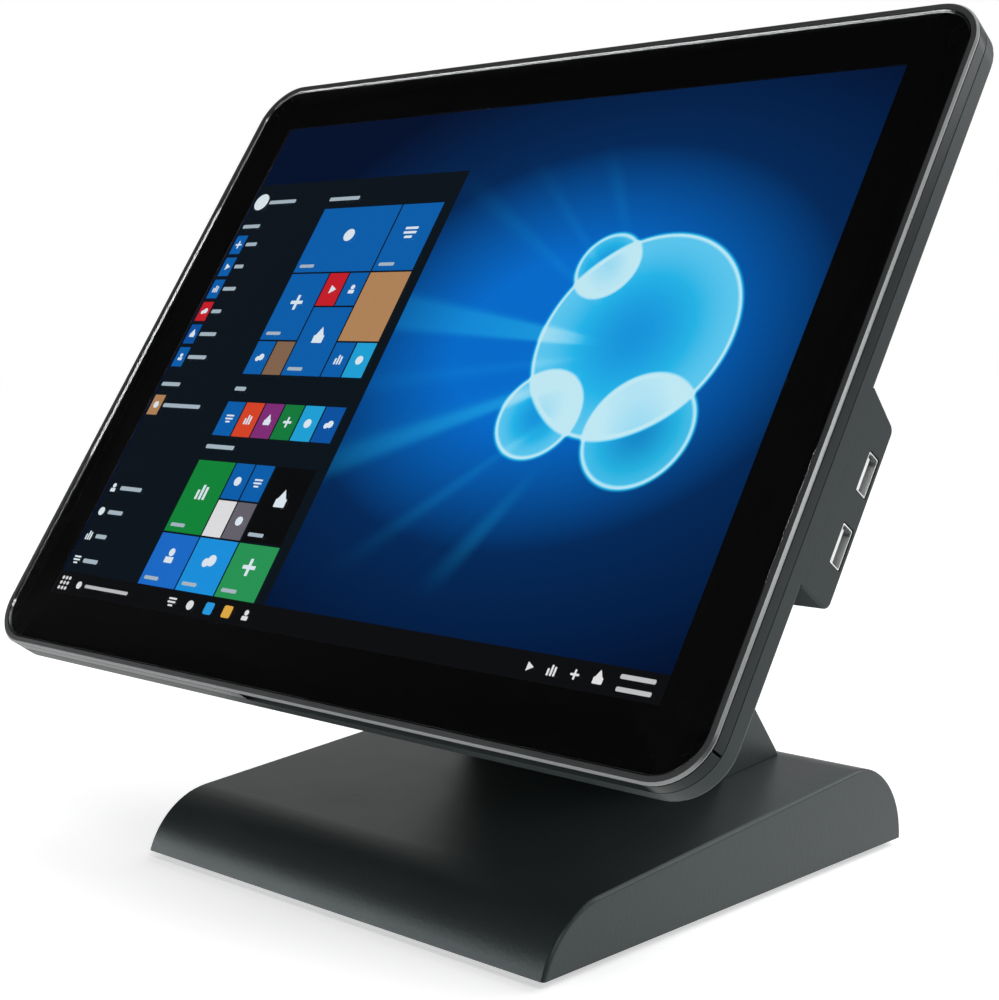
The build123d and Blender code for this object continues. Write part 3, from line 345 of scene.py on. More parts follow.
def finished_copy(node, name, material, body, bevel_mm):
    """A merged copy of a CAD piece with its curves smooth and, given a bevel, its sharp edges
    broken."""
    start_clean()
    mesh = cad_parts[node].data.copy()
    piece = bpy.data.objects.new(name, mesh)
    bpy.context.scene.collection.objects.link(piece)
    take_in_hand(piece)
    bpy.ops.object.mode_set(mode="EDIT")
    bpy.ops.mesh.select_all(action="SELECT")
    bpy.ops.mesh.remove_doubles(threshold=MERGE_MM * MM)
    bpy.ops.mesh.dissolve_limited(angle_limit=math.radians(FLAT_FOLD))
    bpy.ops.object.mode_set(mode="OBJECT")
    if bevel_mm:
        edge = piece.modifiers.new("broken_edge", "BEVEL")
        edge.width = bevel_mm * MM
        edge.segments = 2
        edge.limit_method = "ANGLE"
        edge.angle_limit = math.radians(BROKEN_FROM)
        edge.use_clamp_overlap = True
        edge.miter_outer = "MITER_ARC"
        bpy.ops.object.modifier_apply(modifier=edge.name)
    bpy.ops.object.shade_smooth_by_angle(angle=math.radians(SMOOTH_UP_TO))
    flat = piece.modifiers.new("flat_faces", "WEIGHTED_NORMAL")
    flat.keep_sharp = True
    flat.weight = 100
    bpy.ops.object.modifier_apply(modifier=flat.name)
    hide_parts(node)
    return settle(piece, body, material)


# Turn of a three-sided mark: one points to the right, the other up.
WEDGE_TURN = {"arrow": -math.pi / 2, "roof": 0}


def flat_shapes(name, shapes, depth, thickness, material, corner=0.0):
    """Thin plates on the picture. A shape is ("box", x, y, width, height), or "disc", "arrow"
    or "roof" with x, y and radius, in millimetres across and up from the picture's centre."""
    start_clean()
    mesh = bpy.data.meshes.new(name)
    piece = bpy.data.objects.new(name, mesh)
    bpy.context.scene.collection.objects.link(piece)
    take_in_hand(piece)
    bpy.ops.object.mode_set(mode="EDIT")
    for kind, x, y, *size in shapes:
        spot = (x * MM, y * MM, 0)
        if kind == "box":
            bpy.ops.mesh.primitive_plane_add(size=1, location=spot)
            bpy.ops.transform.resize(value=(size[0] * MM, size[1] * MM, 1),
                                     center_override=spot)
            if corner:
                bpy.ops.mesh.bevel(offset=min(corner, size[0] * 0.49, size[1] * 0.49) * MM,
                                   segments=3, affect="VERTICES")
        elif kind == "disc":
            bpy.ops.mesh.primitive_circle_add(vertices=20, radius=size[0] * MM, location=spot,
                                              fill_type="NGON")
        else:
            bpy.ops.mesh.primitive_circle_add(vertices=3, radius=size[0] * MM, location=spot,
                                              rotation=(0, 0, WEDGE_TURN[kind]),
                                              fill_type="NGON")
        bpy.ops.mesh.select_all(action="DESELECT")
    bpy.ops.mesh.select_all(action="SELECT")
    bpy.ops.mesh.extrude_region_move(
        TRANSFORM_OT_translate={"value": (0, 0, -thickness * MM)})
    bpy.ops.mesh.select_all(action="SELECT")
    bpy.ops.mesh.normals_make_consistent(inside=False)
    bpy.ops.object.mode_set(mode="OBJECT")
    piece.matrix_world = head_matrix() @ Matrix.Translation((0, 0, -depth * MM))
    return settle(piece, "head", material)


# ---------------------------------------------------------------- operators
class KIOSK_OT_coated_stand(bpy.types.Operator):
    """Powder-coated base shell and neck, with the edges of the pressing broken"""

    bl_idname = "kiosk.coated_stand"
    bl_label = "Coated Stand"

    def execute(self, context):
        finish = finishes()
        coat = powder_coat(finish)
        bevel = finish.edge_bevel
        finished_copy("base_shell", "coated_base", coat, "base", bevel)
        finished_copy("neck_shell", "coated_neck", coat, "base", bevel)
        return {"FINISHED"}


class KIOSK_OT_housing(bpy.types.Operator):
    """Moulded rear shell, electronics cover, hinge cover, neck panel and power button"""

    bl_idname = "kiosk.housing"
    bl_label = "Housing"

    def execute(self, context):
        finish = finishes()
        abs_plastic = moulded_housing(finish)
        for node, name, body in (("rear_shell", "moulded_rear_shell", "head"),
                                 ("electronics_cover", "moulded_cover", "head"),
                                 ("hinge_cover", "moulded_hinge_cover", "head"),
                                 ("neck_front_panel", "moulded_neck_panel", "base"),
                                 ("power_button", "moulded_button", "button")):
            finished_copy(node, name, abs_plastic, body, finish.edge_bevel)
        return {"FINISHED"}


class KIOSK_OT_side_blend(bpy.types.Operator):
    """Fillers that carry the rear shell's sides into the housing's, as one moulding"""

    bl_idname = "kiosk.side_blend"
    bl_label = "Side Blend"

    def execute(self, context):
        head = head_sizes()
        abs_plastic = bpy.data.materials["spark_textured_abs"]
        wide = head.blend_w * MM
        high = (head.blend_top - head.blend_bottom) * MM
        deep = (head.blend_back - head.blend_front) * MM
        across = (head.head_w / 2 - head.blend_inset) * MM - wide / 2
        middle = (head.blend_top + head.blend_bottom) / 2 * MM
        depth = (head.blend_front + head.blend_back) / 2 * MM
        for name, side in (("side_blend_left", -1), ("side_blend_right", 1)):
            start_clean()
            bpy.ops.mesh.primitive_cube_add(size=1)
            piece = bpy.context.object
            piece.name = name
            bpy.ops.object.mode_set(mode="EDIT")
            bpy.ops.mesh.select_all(action="SELECT")
            bpy.ops.transform.resize(value=(wide, high, deep))
            bpy.ops.mesh.bevel(offset=head.blend_break * MM, segments=1, affect="EDGES")
            bpy.ops.object.mode_set(mode="OBJECT")
            place = Matrix.Translation((side * across, middle, -depth))
            piece.matrix_world = head_matrix() @ place
            settle(piece, "head", abs_plastic)
        return {"FINISHED"}


class KIOSK_OT_front_edge(bpy.types.Operator):
    """Anodised front frame with its bevelled rim, and the dark trim band behind it"""

    bl_idname = "kiosk.front_edge"
    bl_label = "Front Edge"

    def execute(self, context):
        finish = finishes()
        finished_copy("front_frame", "anodised_frame", anodised_rim(finish),
                      "head", finish.frame_bevel)
        trim = trim_abs(finish)
        for node, name in (("edge_trim", "long_trim"), ("corner_trim", "short_trim"),
                           ("sound_grille", "sound_grille_strip")):
            finished_copy(node, name, trim, "head", finish.trim_bevel)
        return {"FINISHED"}


class KIOSK_OT_cover_glass(bpy.types.Operator):
    """Polished cover glass over its black border print"""

    bl_idname = "kiosk.cover_glass"
    bl_label = "Cover Glass"

    def execute(self, context):
        finished_copy("cover_glass", "polished_glass", touch_glass(), "head", 0)
        # Screen-printed enamel: dead black behind the glass, no sheen of its own.
        ink = grained("black_border_ink", linear("020203"), 0.5, 0.3, 0.002, mottle=0.02,
                      specular=0.1)
        dress("border_mask", ink)
        return {"FINISHED"}


# The wallpaper, in millimetres from the picture's centre. The glow: its middle, how much wider
# than high it is, and its reach. The fan of light: where it starts, and its strength. The
# bubbles: centre across and up, radius and strength of the fill. A bubble's rim: its width and
# strength, and half the width of its soft edge. Last, how soon light hides the glow behind it.
GLOW_MIDDLE, GLOW_WIDER, GLOW_REACH = (52, 8), 1.35, 150
FAN_START, FAN_LIGHT = (96, 4), 0.3
BUBBLES = ((86, 10, 40, 0.55), (104, -26, 21, 0.5), (60, -22, 17, 0.55), (62, 38, 13, 0.5))
BUBBLE_RIM, BUBBLE_RIM_LIGHT, BUBBLE_SOFT = 1.6, 0.55, 0.5
LIGHT_COVERS = 1.7


def wallpaper(picture, width, height):
    """Backlit picture: a blue glow, light fanning to the left and clear bubbles."""
    material, tree, shader = new_material("lit_wallpaper")

    def calc(operation, *values):
        """A sum on values, each a socket or a number."""
        return math_node(tree, operation, *values)

    def reach(middle, wider=1.0):
        """Distance from a point, with what lies across divided by wider."""
        across = calc("DIVIDE", calc("SUBTRACT", x, middle[0]), wider)
        up = calc("SUBTRACT", y, middle[1])
        squares = calc("ADD", calc("MULTIPLY", across, across), calc("MULTIPLY", up, up))
        return calc("SQRT", squares)

    def step(value, start, end):
        """Smooth step from 0 at start to 1 at end."""
        node = add_node(tree, "ShaderNodeMapRange", {"interpolation_type": "SMOOTHSTEP"},
                        {"Value": value})
        node.inputs["From Min"].default_value = start
        node.inputs["From Max"].default_value = end
        return node.outputs[0]

    uv = add_node(tree, "ShaderNodeTexCoord").outputs["UV"]
    parts = add_node(tree, "ShaderNodeSeparateXYZ", links={"Vector": uv})
    x = calc("MULTIPLY", calc("SUBTRACT", parts.outputs["X"], 0.5), width)
    y = calc("MULTIPLY", calc("SUBTRACT", parts.outputs["Y"], 0.5), height)
    glow = ramp(tree, calc("DIVIDE", reach(GLOW_MIDDLE, GLOW_WIDER), GLOW_REACH),
                [(0.0, picture.azure), (0.22, picture.azure), (0.55, picture.dusk),
                 (0.9, picture.deep)])
    # Light fanning out of the glow: noise along the angle. It fades with distance, to the
    # right and upwards and downwards, gone at each first number and full at the second.
    angle = calc("ARCTAN2", calc("SUBTRACT", y, FAN_START[1]), calc("SUBTRACT", x, FAN_START[0]))
    fan = add_node(tree, "ShaderNodeTexNoise", {"noise_dimensions": "1D"}, {"W": angle},
                   Scale=4.5, Detail=1.0, Roughness=0.4)
    beam = step(fan.outputs["Fac"], 0.5, 0.78)
    beam = calc("MULTIPLY", beam, step(reach(FAN_START), 190, 30))
    beam = calc("MULTIPLY", beam, step(x, 76, 40))
    beam = calc("MULTIPLY", beam, step(calc("ABSOLUTE", y), 95, 55))
    light = calc("MULTIPLY", beam, FAN_LIGHT)
    for *middle, radius, fill in BUBBLES:
        away = reach(middle)
        inside = step(away, radius + BUBBLE_SOFT, radius - BUBBLE_SOFT)
        filled = calc("MULTIPLY_ADD", step(away, 0.0, radius), fill * 0.5, fill * 0.5)
        off_rim = calc("ABSOLUTE", calc("SUBTRACT", away, radius))
        rim = calc("SUBTRACT", 1.0, step(off_rim, 0.0, BUBBLE_RIM))
        bubble = calc("ADD", calc("MULTIPLY", inside, filled),
                      calc("MULTIPLY", rim, BUBBLE_RIM_LIGHT))
        light = calc("ADD", light, bubble)
    flare = ramp(tree, light, [(0.0, picture.bright), (0.45, picture.core),
                               (1.0, linear("c8f3ff"))])
    # A Mix node takes colours at its sockets 6 and 7, and gives the mixed one at 2.
    mixed = add_node(tree, "ShaderNodeMix", {"data_type": "RGBA", "clamp_factor": True},
                     {"Factor": calc("MULTIPLY", light, LIGHT_COVERS), 6: glow, 7: flare})
    shader.inputs["Base Color"].default_value = (0, 0, 0, 1)
    shader.inputs["Specular IOR Level"].default_value = 0.0
    tree.links.new(mixed.outputs[2], shader.inputs["Emission Color"])
    shader.inputs["Emission Strength"].default_value = picture.brightness
    return material


class KIOSK_OT_picture(bpy.types.Operator):
    """Lit wallpaper film on the display cell"""

    bl_idname = "kiosk.picture"
    bl_label = "Picture"

    def execute(self, context):
        head = head_sizes()
        start_clean()
        bpy.ops.mesh.primitive_plane_add(size=1)
        film = bpy.context.object
        film.name = "wallpaper_film"
        bpy.ops.object.mode_set(mode="EDIT")
        bpy.ops.mesh.select_all(action="SELECT")
        bpy.ops.transform.resize(value=(head.picture_w * MM, head.picture_h * MM, 1))
        bpy.ops.mesh.subdivide(number_cuts=7)
        bpy.ops.mesh.extrude_region_move(
            TRANSFORM_OT_translate={"value": (0, 0, -head.film_t * MM)})
        bpy.ops.mesh.select_all(action="SELECT")
        bpy.ops.mesh.normals_make_consistent(inside=False)
        bpy.ops.object.mode_set(mode="OBJECT")
        film.matrix_world = head_matrix() @ Matrix.Translation((0, 0, -head.picture_depth * MM))
        picture = wallpaper(context.scene.kiosk_picture, head.picture_w, head.picture_h)
        settle(film, "head", picture)
        # Polariser over black matrix: the cell's own edge is a neutral near-black.
        dress("lcd_cell", grained("cell_polariser", linear("08090b"), 0.35, 0.2, 0.001))
        return {"FINISHED"}


# The menu, in millimetres from the picture's centre: its edges, and the pitch, gap and left
# edge of its small tiles. Sizes of the marks on a small tile, a big tile, a row and a row at
# the foot. On a big tile the mark's rise and the line: its inset, height, length and width.
MENU_LEFT, MENU_RIGHT, MENU_TOP, MENU_BOTTOM = -150.8, -27.6, 84.0, -104.2
TILE_PITCH, TILE_GAP, TILES_LEFT = (11.6, 16.1), 0.8, -102.2
SMALL_MARK, BIG_MARK, ROW_MARK, FOOT_MARK = 4.6, 7.0, 3.8, 4.4
BIG_MARK_RISE, BIG_TILE_LINE = 2.0, (2.2, 3.0, 8.5, 1.5)
# Its three blocks of tiles, each with the height of its top. A tile: column and row from the
# block's top left, width and height in small tiles, colour, and its mark (-1 for none).
BLOCKS = (
    (69.3, ((0, 0, 4, 2, "0a63b4", 0), (4, 0, 2, 2, "0a63b4", 1), (0, 2, 2, 2, "0a63b4", 2),
            (2, 2, 1, 1, "d0202c", 3), (3, 2, 1, 1, "0a63b4", 7), (4, 2, 2, 2, "b98a5e", -1),
            (2, 3, 2, 2, "0a63b4", 6), (0, 4, 1, 1, "0a63b4", 5), (1, 4, 1, 1, "8a6a52", -1),
            (4, 4, 1, 1, "0a63b4", 4), (5, 4, 1, 1, "22a8e0", 0))),
    (-23.3, ((0, 0, 1, 1, "0a63b4", 1), (1, 0, 1, 1, "e0482a", 4), (2, 0, 1, 1, "86307c", 6),
             (3, 0, 1, 1, "168040", 2), (4, 0, 1, 1, "22a8e0", 0), (5, 0, 1, 1, "0a56a8", 5))),
    (-49.9, ((0, 0, 2, 2, "128a3c", 4), (2, 0, 1, 1, "0a63b4", 0), (3, 0, 1, 1, "0a63b4", 1),
             (2, 1, 1, 1, "e8e8ea", -1), (3, 1, 1, 1, "6a6670", 0), (4, 0, 2, 2, "08090b", 6),
             (0, 2, 2, 2, "1c6fd0", 7), (2, 2, 2, 2, "1c96e6", 5), (4, 2, 2, 2, "2a9a58", 2))),
)
# The list beside them: middle of its marks, left end of its lines and of its headings. Its
# rows, from the first one down, are squares of a colour with a line of a length, and the last
# row stands apart. The rows at its foot are a mark with a line of a length.
LIST_MARKS, LIST_LINES, LIST_HEADINGS = -147.2, -142.3, -150.4
ROWS = (("0a63b4", 7.0), ("0a63b4", 5.7), ("0a63b4", 8.2), ("d0202c", 6.2), ("0a56a8", 10.6),
        ("0a63b4", 11.8), ("b98a5e", 24.0))
ROWS_TOP, ROW_PITCH, LAST_ROW, ROW_SQUARE = 52.9, 11.25, -26.6, (6.8, 9.4)
FOOT_ROWS = ((7, 14.0), (0, 9.5), (4, 7.0), (1, 9.5))
FOOT_MARKS, FOOT_TOP, FOOT_PITCH = -146.8, -65.7, 11.0
# Headings over the blocks and over the list: left end, height and length.
HEADINGS = ((TILES_LEFT, 74.1, 18), (TILES_LEFT, -17.3, 6.6), (TILES_LEFT, -43.7, 17),
            (LIST_HEADINGS, 62.3, 11), (LIST_HEADINGS, -16.6, 12))
# The account above the list: a disc and a line.
ACCOUNT_DISC, ACCOUNT_LINE = ("disc", -146.4, 75.0, 4.2), (-140.8, 74.5, 17)

# Plain marks, each of a few shapes in parts of the mark's size.
MARKS = (
    (("disc", 0, 0, 0.42),),
    (("box", 0, 0.3, 1, 0.16), ("box", 0, 0, 1, 0.16), ("box", 0, -0.3, 0.6, 0.16)),
    (("box", 0, 0, 0.22, 1), ("box", 0, 0, 1, 0.22)),
    (("arrow", 0, 0, 0.5),),
    (("box", -0.32, -0.16, 0.2, 0.6), ("box", 0, 0, 0.2, 0.92), ("box", 0.32, -0.06, 0.2, 0.8)),
    (("disc", -0.22, -0.1, 0.26), ("disc", 0.2, 0.06, 0.34)),
    (("box", 0, -0.14, 0.84, 0.5), ("roof", 0, 0.2, 0.46)),
    (("disc", 0, 0.2, 0.24), ("box", 0, -0.26, 0.7, 0.36)),
)


def mark_shapes(mark, x, y, size):
    """The shapes of a plain mark at a place, in millimetres."""
    return [(kind, x + across * size, y + up * size, *(span * size for span in spans))
            for kind, across, up, *spans in MARKS[mark % len(MARKS)]]


def dash(left, y, width, thick=1.8):
    """A line that stands for a word, from its left end."""
    return "box", left + width / 2, y, width, thick


def tile_box(top, column, row, wide, high):
    """Centre and size of a tile. The menu's lower edge cuts off what passes it."""
    pitch_x, pitch_y = TILE_PITCH
    width = wide * pitch_x - TILE_GAP
    upper = top - row * pitch_y
    lower = max(MENU_BOTTOM, upper - high * pitch_y + TILE_GAP)
    return TILES_LEFT + column * pitch_x + width / 2, (upper + lower) / 2, width, upper - lower


def menu_tiles():
    """The tiles by their colour, and the marks and lines on them."""
    by_colour, marks, lines = {}, [], []
    for block_top, tiles in BLOCKS:
        for column, row, wide, high, colour, mark in tiles:
            x, y, width, height = tile_box(block_top, column, row, wide, high)
            by_colour.setdefault(colour, []).append(("box", x, y, width, height))
            if mark < 0:
                continue
            if high == 1:
                marks += mark_shapes(mark, x, y, SMALL_MARK)
                continue
            # A big tile has its mark above the middle and a line in its lower left corner.
            marks += mark_shapes(mark, x, y + BIG_MARK_RISE, BIG_MARK)
            inset, rise, length, thick = BIG_TILE_LINE
            lines.append(dash(x - width / 2 + inset, y - height / 2 + rise, length, thick))
    return by_colour, marks, lines


def menu_list():
    """The list's squares by their colour, and its marks and lines."""
    by_colour, marks, lines = {}, [ACCOUNT_DISC], [dash(*ACCOUNT_LINE)]
    for index, (colour, length) in enumerate(ROWS):
        y = LAST_ROW if index == len(ROWS) - 1 else ROWS_TOP - ROW_PITCH * index
        by_colour.setdefault(colour, []).append(("box", LIST_MARKS, y, *ROW_SQUARE))
        marks += mark_shapes(index + 2, LIST_MARKS, y, ROW_MARK)
        lines.append(dash(LIST_LINES, y, length))
    for index, (mark, length) in enumerate(FOOT_ROWS):
        y = FOOT_TOP - FOOT_PITCH * index
        marks += mark_shapes(mark, FOOT_MARKS, y, FOOT_MARK)
        lines.append(dash(LIST_LINES, y, length))
    return by_colour, marks, lines


class KIOSK_OT_menu(bpy.types.Operator):
    """Menu panel with its list and coloured tiles, all without lettering"""

    bl_idname = "kiosk.menu"
    bl_label = "Menu"

    def execute(self, context):
        picture, head = context.scene.kiosk_picture, head_sizes()
        glow = picture.brightness
        # The panel, then what lies on it, each one film nearer the glass.
        depth = head.picture_depth - head.film_t
        panel = ("box", (MENU_LEFT + MENU_RIGHT) / 2, (MENU_TOP + MENU_BOTTOM) / 2,
                 MENU_RIGHT - MENU_LEFT, MENU_TOP - MENU_BOTTOM)
        flat_shapes("menu_panel", [panel], depth, head.film_t, lit("lit_menu", picture.menu, glow))
        depth -= head.film_t
        by_colour, marks, lines = menu_tiles()
        list_squares, list_marks, list_lines = menu_list()
        for colour, squares in list_squares.items():
            by_colour.setdefault(colour, []).extend(squares)
        for colour, boxes in by_colour.items():
            flat_shapes(f"tiles_{colour}", boxes, depth, head.film_t,
                        lit(f"lit_tile_{colour}", linear(colour), glow))
        depth -= head.film_t
        lines += list_lines + [dash(*heading) for heading in HEADINGS]
        flat_shapes("tile_marks", marks + list_marks, depth, head.film_t,
                    lit("lit_marks", linear("e6f2fb"), glow), corner=0.3)
        flat_shapes("menu_lines", lines, depth, head.film_t,
                    lit("lit_lines", linear("aebfcb"), glow), corner=0.5)
        return {"FINISHED"}


# The task bar, in millimetres from the picture's centre: its height, the nine dots that open
# the menu (middle, pitch and radius), the search field's disc (place across and radius), its
# other marks (mark, place across and size), its lines (place across, place up from the bar's
# middle, width and height, the search field's first) and its coloured squares (name, colour
# and place across) with their side.
BAR_HEIGHT = 9.8
DOTS_MIDDLE, DOTS_PITCH, DOT_RADIUS = -147, 2.2, 0.75
SEARCH_DISC, SEARCH_DISC_RADIUS = -137, 1.6
BAR_MARKS = ((1, -77.5, 4.6), (0, -66.5, 4.6), (7, -34.5, 4.6), (3, 100, 3.6), (4, 109, 4.0),
             (2, 118, 3.4), (6, 127, 4.4))
BAR_LINES = ((-119, 0, 28, 1.4), (141, 2, 13, 1.5), (141, -2, 13, 1.5))
BAR_SQUARES = (("azure", "2aa0e8", -55.5), ("amber", "e8b04a", -45))
BAR_SQUARE = 4.8


class KIOSK_OT_task_bar(bpy.types.Operator):
    """Dark bar along the bottom of the picture with plain marks"""

    bl_idname = "kiosk.task_bar"
    bl_label = "Task Bar"

    def execute(self, context):
        picture, head = context.scene.kiosk_picture, head_sizes()
        glow = picture.brightness
        depth = head.picture_depth - head.film_t
        middle = (BAR_HEIGHT - head.picture_h) / 2
        flat_shapes("task_bar", [("box", 0, middle, head.picture_w, BAR_HEIGHT)], depth,
                    head.film_t, lit("lit_bar", picture.bar, glow))
        depth -= head.film_t
        marks = [("disc", DOTS_MIDDLE + DOTS_PITCH * i, middle + DOTS_PITCH * j, DOT_RADIUS)
                 for i in (-1, 0, 1) for j in (-1, 0, 1)]
        marks.append(("disc", SEARCH_DISC, middle, SEARCH_DISC_RADIUS))
        for mark, x, size in BAR_MARKS:
            marks += mark_shapes(mark, x, middle, size)
        flat_shapes("bar_marks", marks, depth, head.film_t,
                    lit("lit_bar_marks", linear("e8e8e8"), glow), corner=0.3)
        lines = [("box", x, middle + up, width, height) for x, up, width, height in BAR_LINES]
        flat_shapes("bar_lines", lines, depth, head.film_t,
                    lit("lit_bar_lines", linear("c4c6c8"), glow), corner=0.5)
        for name, colour, x in BAR_SQUARES:
            flat_shapes(f"bar_{name}", [("box", x, middle, BAR_SQUARE, BAR_SQUARE)], depth,
                        head.film_t, lit(f"lit_bar_{name}", linear(colour), glow), corner=0.8)
        return {"FINISHED"}


class KIOSK_OT_sockets(bpy.types.Operator):
    """Nickel socket shells, their nylon tongues and the black lower connectors"""

    bl_idname = "kiosk.sockets"
    bl_label = "Sockets"

    def execute(self, context):
        # Nickel-plated spring steel: bright, cold, with fine insertion scratches along it.
        nickel = grained("nickel_plate", linear("dcdddd"), 0.26, 0.5, 0.004, metallic=1.0,
                         mottle=0.04, stretch=(0.08, 1, 1))
        # Glass-filled nylon tongue, slightly waxy. Its pale grey is partly painted light: it is made
        # lighter so that the tongue shows bright in the shade inside its shell.
        tongue = grained("nylon_with_painted_light", linear("e2e4e4"), 0.3, 0.3, 0.005)
        # Flame-retardant connector body: black, matt.
        body = grained("connector_black", linear("17181a"), 0.5, 0.4, 0.01)
        for node in ("side_usb_shells", "lower_usb_shells"):
            dress(node, nickel)
        for node in ("side_usb_tongues", "lower_usb_tongues"):
            dress(node, tongue)
        for node in ("lan_port", "serial_ports", "power_inlet", "power_switch"):
            dress(node, body)
        return {"FINISHED"}


class KIOSK_OT_hardware(bpy.types.Operator):
    """Screws, brackets, plates, posts, boards and rubber feet"""

    bl_idname = "kiosk.hardware"
    bl_label = "Hardware"

    def execute(self, context):
        # Zinc-plated sheet: pale grey, rolled lines along X.
        zinc = grained("zinc_plated_sheet", linear("9a9c9d"), 0.35, 0.4, 0.006, metallic=1.0,
                       stretch=(0.05, 1, 1), mottle=0.06, mottle_mm=12)
        # Blackened steel screws: dark, oily sheen.
        black_oxide = grained("black_oxide_steel", linear("2b2c2e"), 0.32, 0.3, 0.004, metallic=0.9)
        # Ground shaft steel: bright, turned finish.
        ground = grained("ground_steel", linear("b4b5b6"), 0.22, 0.25, 0.003, metallic=1.0,
                         stretch=(4, 1, 1))
        # Turned brass hexagon bar.
        brass = grained("turned_brass", linear("c39a4c"), 0.28, 0.2, 0.004, metallic=1.0)
        # Sand-cast iron, as cast.
        iron = grained("cast_iron", linear("2a2a2b"), 0.7, 1.4, 0.12, metallic=0.3)
        # Solder mask over copper: deep green, faint copper relief.
        mask = grained("solder_mask", linear("0f4a2c"), 0.3, 1.2, 0.02, mottle=0.18, mottle_mm=3)
        # Extruded aluminium, clear anodised.
        sink = grained("extruded_aluminium", linear("a9acae"), 0.34, 0.3, 0.01, metallic=1.0,
                       stretch=(1, 0.06, 0.06))
        # Moulded black parts of the boards.
        chip = grained("moulded_epoxy", linear("141416"), 0.45, 0.25, 0.006)
        # Natural rubber filled with carbon black: matt with a bloom.
        rubber = grained("black_rubber", linear("151515"), 0.75, 0.6, 0.03, mottle=0.1)
        # Polyimide flat cable: amber film.
        film = grained("polyimide_film", linear("b98a3c"), 0.35, 0.8, 0.004)
        # Matt white reflector tray of the backlight.
        white = grained("white_reflector", linear("d6d7d5"), 0.6, 0.5, 0.004)
        for material, nodes in (
                (zinc, ("base_plate", "base_stiffener", "neck_bracket", "hinge_bracket",
                        "hinge_backing_plate", "chassis", "lcd_bezel")),
                (black_oxide, ("base_plate_screws", "chassis_screws", "rear_shell_screws",
                               "cover_screws", "hinge_screws", "board_screws", "neck_bolts")),
                (ground, ("hinge_shafts", "friction_discs", "hinge_nuts", "neck_nuts")),
                (brass, ("board_standoffs", "cover_posts", "hinge_posts")),
                (iron, ("base_ballast",)),
                (mask, ("mainboard", "usb_board", "switch_board", "touch_controller")),
                (sink, ("heat_sink",)),
                (chip, ("speakers", "processor", "memory_module", "storage_drive")),
                (rubber, ("rubber_feet",)),
                (film, ("display_cable",)),
                (white, ("lcd_backlight",))):
            for node in nodes:
                dress(node, material)
        return {"FINISHED"}


# Softboxes: name, place, what it aims at, width and height, watts.
LIGHTS = (
    ("key_box", (0.95, -0.62, 1.15), (0.05, 0.0, 0.15), (0.7, 0.5), 7),
    ("tail_box", (0.9, 1.3, 0.7), (0.0, 0.1, 0.05), (0.9, 0.6), 4.5),
    ("low_box", (-0.95, -1.02, 0.26), (0.0, -0.1, 0.04), (1.0, 0.5), 6),
)
# Radius of the floor, in metres, the way to the bright wall, and the way and the spread of
# the light from the ceiling.
FLOOR_RADIUS = 6.0
BRIGHT_WALL = (0.3, 0.9, 0.15)
CEILING_AIM, CEILING_SPREAD = (-0.25, -0.55, -1), math.radians(70)


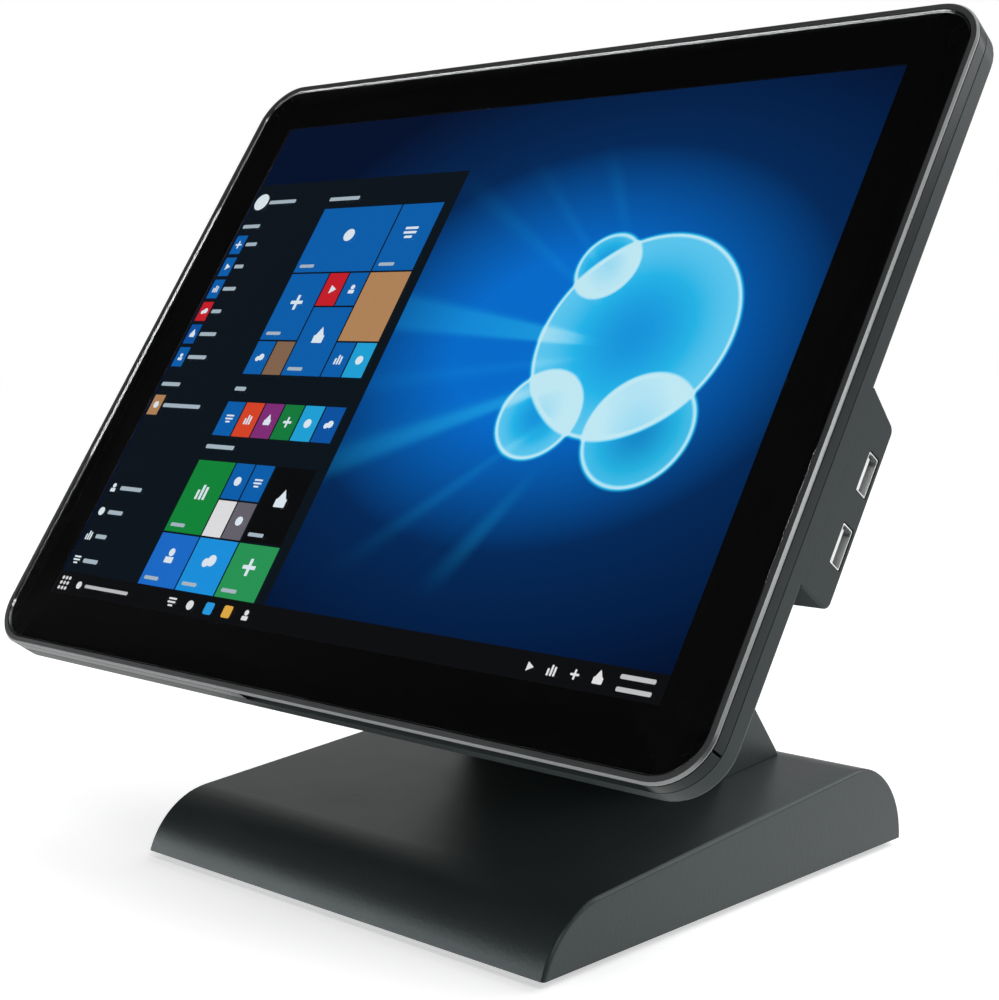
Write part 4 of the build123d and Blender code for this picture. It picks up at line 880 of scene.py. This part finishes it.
class KIOSK_OT_stage(bpy.types.Operator):
    """Pale floor, soft studio lights, even surroundings and the camera"""

    bl_idname = "kiosk.stage"
    bl_label = "Stage"

    def execute(self, context):
        stage = context.scene.kiosk_stage
        self.floor(stage)
        self.surroundings(context.scene, stage)
        for softbox in LIGHTS:
            self.light(*softbox)
        self.overhead(stage)
        self.camera(context.scene, stage)
        context.scene.view_settings.view_transform = "Standard"
        return {"FINISHED"}

    @staticmethod
    def floor(stage):
        start_clean()
        bpy.ops.mesh.primitive_circle_add(vertices=96, radius=FLOOR_RADIUS, fill_type="NGON")
        floor = bpy.context.object
        floor.name = "floor"
        # Matt white paper roll: even, with a little light of its own.
        material, _, shader = new_material("white_paper_roll")
        shader.inputs["Base Color"].default_value = stage.floor
        shader.inputs["Roughness"].default_value = 0.9
        shader.inputs["Specular IOR Level"].default_value = 0.1
        shader.inputs["Emission Color"].default_value = stage.floor
        shader.inputs["Emission Strength"].default_value = stage.floor_glow
        floor.data.materials.append(material)

    @staticmethod
    def surroundings(scene, stage):
        """A white studio: bright behind and to the right, dark where the glass mirrors it."""
        world = bpy.data.worlds.new("studio")
        scene.world = world
        world.use_nodes = True
        tree = world.node_tree
        tree.nodes.clear()
        heading = add_node(tree, "ShaderNodeTexCoord").outputs["Generated"]
        facing = add_node(tree, "ShaderNodeVectorMath", {"operation": "DOT_PRODUCT"}, {0: heading})
        facing.inputs[1].default_value = Vector(BRIGHT_WALL).normalized()
        wall = ramp(tree, math_node(tree, "MULTIPLY_ADD", facing.outputs["Value"], 0.5, 0.5),
                    [(0.42, linear("2c2c2c")), (0.68, linear("f0f0f0"))])
        seen = add_node(tree, "ShaderNodeBackground", Color=(1, 1, 1, 1), Strength=1.0)
        lighting = add_node(tree, "ShaderNodeBackground", links={"Color": wall},
                            Strength=stage.wall_light)
        path = add_node(tree, "ShaderNodeLightPath")
        mix = add_node(tree, "ShaderNodeMixShader",
                       links={"Fac": path.outputs["Is Camera Ray"], 1: lighting.outputs[0],
                              2: seen.outputs[0]})
        add_node(tree, "ShaderNodeOutputWorld", links={"Surface": mix.outputs[0]})

    @staticmethod
    def light(name, place, aim, size, watts):
        start_clean()
        bpy.ops.object.light_add(type="AREA", location=place)
        lamp = bpy.context.object
        lamp.name = name
        lamp.data.energy = watts
        lamp.data.shape = "RECTANGLE"
        lamp.data.size, lamp.data.size_y = size
        lamp.rotation_euler = (Vector(aim) - Vector(place)).to_track_quat("-Z", "Y").to_euler()
        lamp.visible_camera = False

    @staticmethod
    def overhead(stage):
        """Light through a wide ceiling diffuser: as bright all over the floor."""
        start_clean()
        bpy.ops.object.light_add(type="SUN")
        lamp = bpy.context.object
        lamp.name = "ceiling_diffuser"
        lamp.data.energy = stage.ceiling_light
        lamp.data.angle = CEILING_SPREAD
        lamp.rotation_euler = Vector(CEILING_AIM).to_track_quat("-Z", "Y").to_euler()

    @staticmethod
    def camera(scene, stage):
        start_clean()
        bpy.ops.object.camera_add(location=stage.camera_place)
        camera = bpy.context.object
        camera.rotation_euler = (math.pi / 2 - stage.camera_drop, 0, stage.camera_turn)
        camera.data.lens = stage.lens
        camera.data.sensor_width = 36
        camera.data.clip_start = 0.01
        camera.data.clip_end = 100
        scene.camera = camera


class KIOSK_PT_panel(bpy.types.Panel):
    """Lists the kiosk's pieces and their settings"""

    bl_idname = "KIOSK_PT_panel"
    bl_label = "Touchscreen Kiosk"
    bl_space_type = "VIEW_3D"
    bl_region_type = "UI"
    bl_category = "Kiosk"

    def draw(self, context):
        for step in STEPS:
            self.layout.operator(step.bl_idname)
        for name, group in GROUPS.items():
            box = self.layout.box()
            for key in group.__annotations__:
                box.prop(getattr(context.scene, name), key)


STEPS = (KIOSK_OT_coated_stand, KIOSK_OT_housing, KIOSK_OT_side_blend, KIOSK_OT_front_edge,
         KIOSK_OT_cover_glass, KIOSK_OT_picture, KIOSK_OT_menu, KIOSK_OT_task_bar,
         KIOSK_OT_sockets, KIOSK_OT_hardware, KIOSK_OT_stage)
CLASSES = (*GROUPS.values(), *STEPS, KIOSK_PT_panel)


def register():
    for cls in CLASSES:
        bpy.utils.register_class(cls)
    for name, group in GROUPS.items():
        setattr(bpy.types.Scene, name, bpy.props.PointerProperty(type=group))


def unregister():
    for name in GROUPS:
        delattr(bpy.types.Scene, name)
    for cls in reversed(CLASSES):
        bpy.utils.unregister_class(cls)


def main():
    register()
    bpy.ops.kiosk.coated_stand()
    bpy.ops.kiosk.housing()
    bpy.ops.kiosk.side_blend()
    bpy.ops.kiosk.front_edge()
    bpy.ops.kiosk.cover_glass()
    bpy.ops.kiosk.picture()
    bpy.ops.kiosk.menu()
    bpy.ops.kiosk.task_bar()
    bpy.ops.kiosk.sockets()
    bpy.ops.kiosk.hardware()
    bpy.ops.kiosk.stage()


if __name__ == "__main__":
    main()
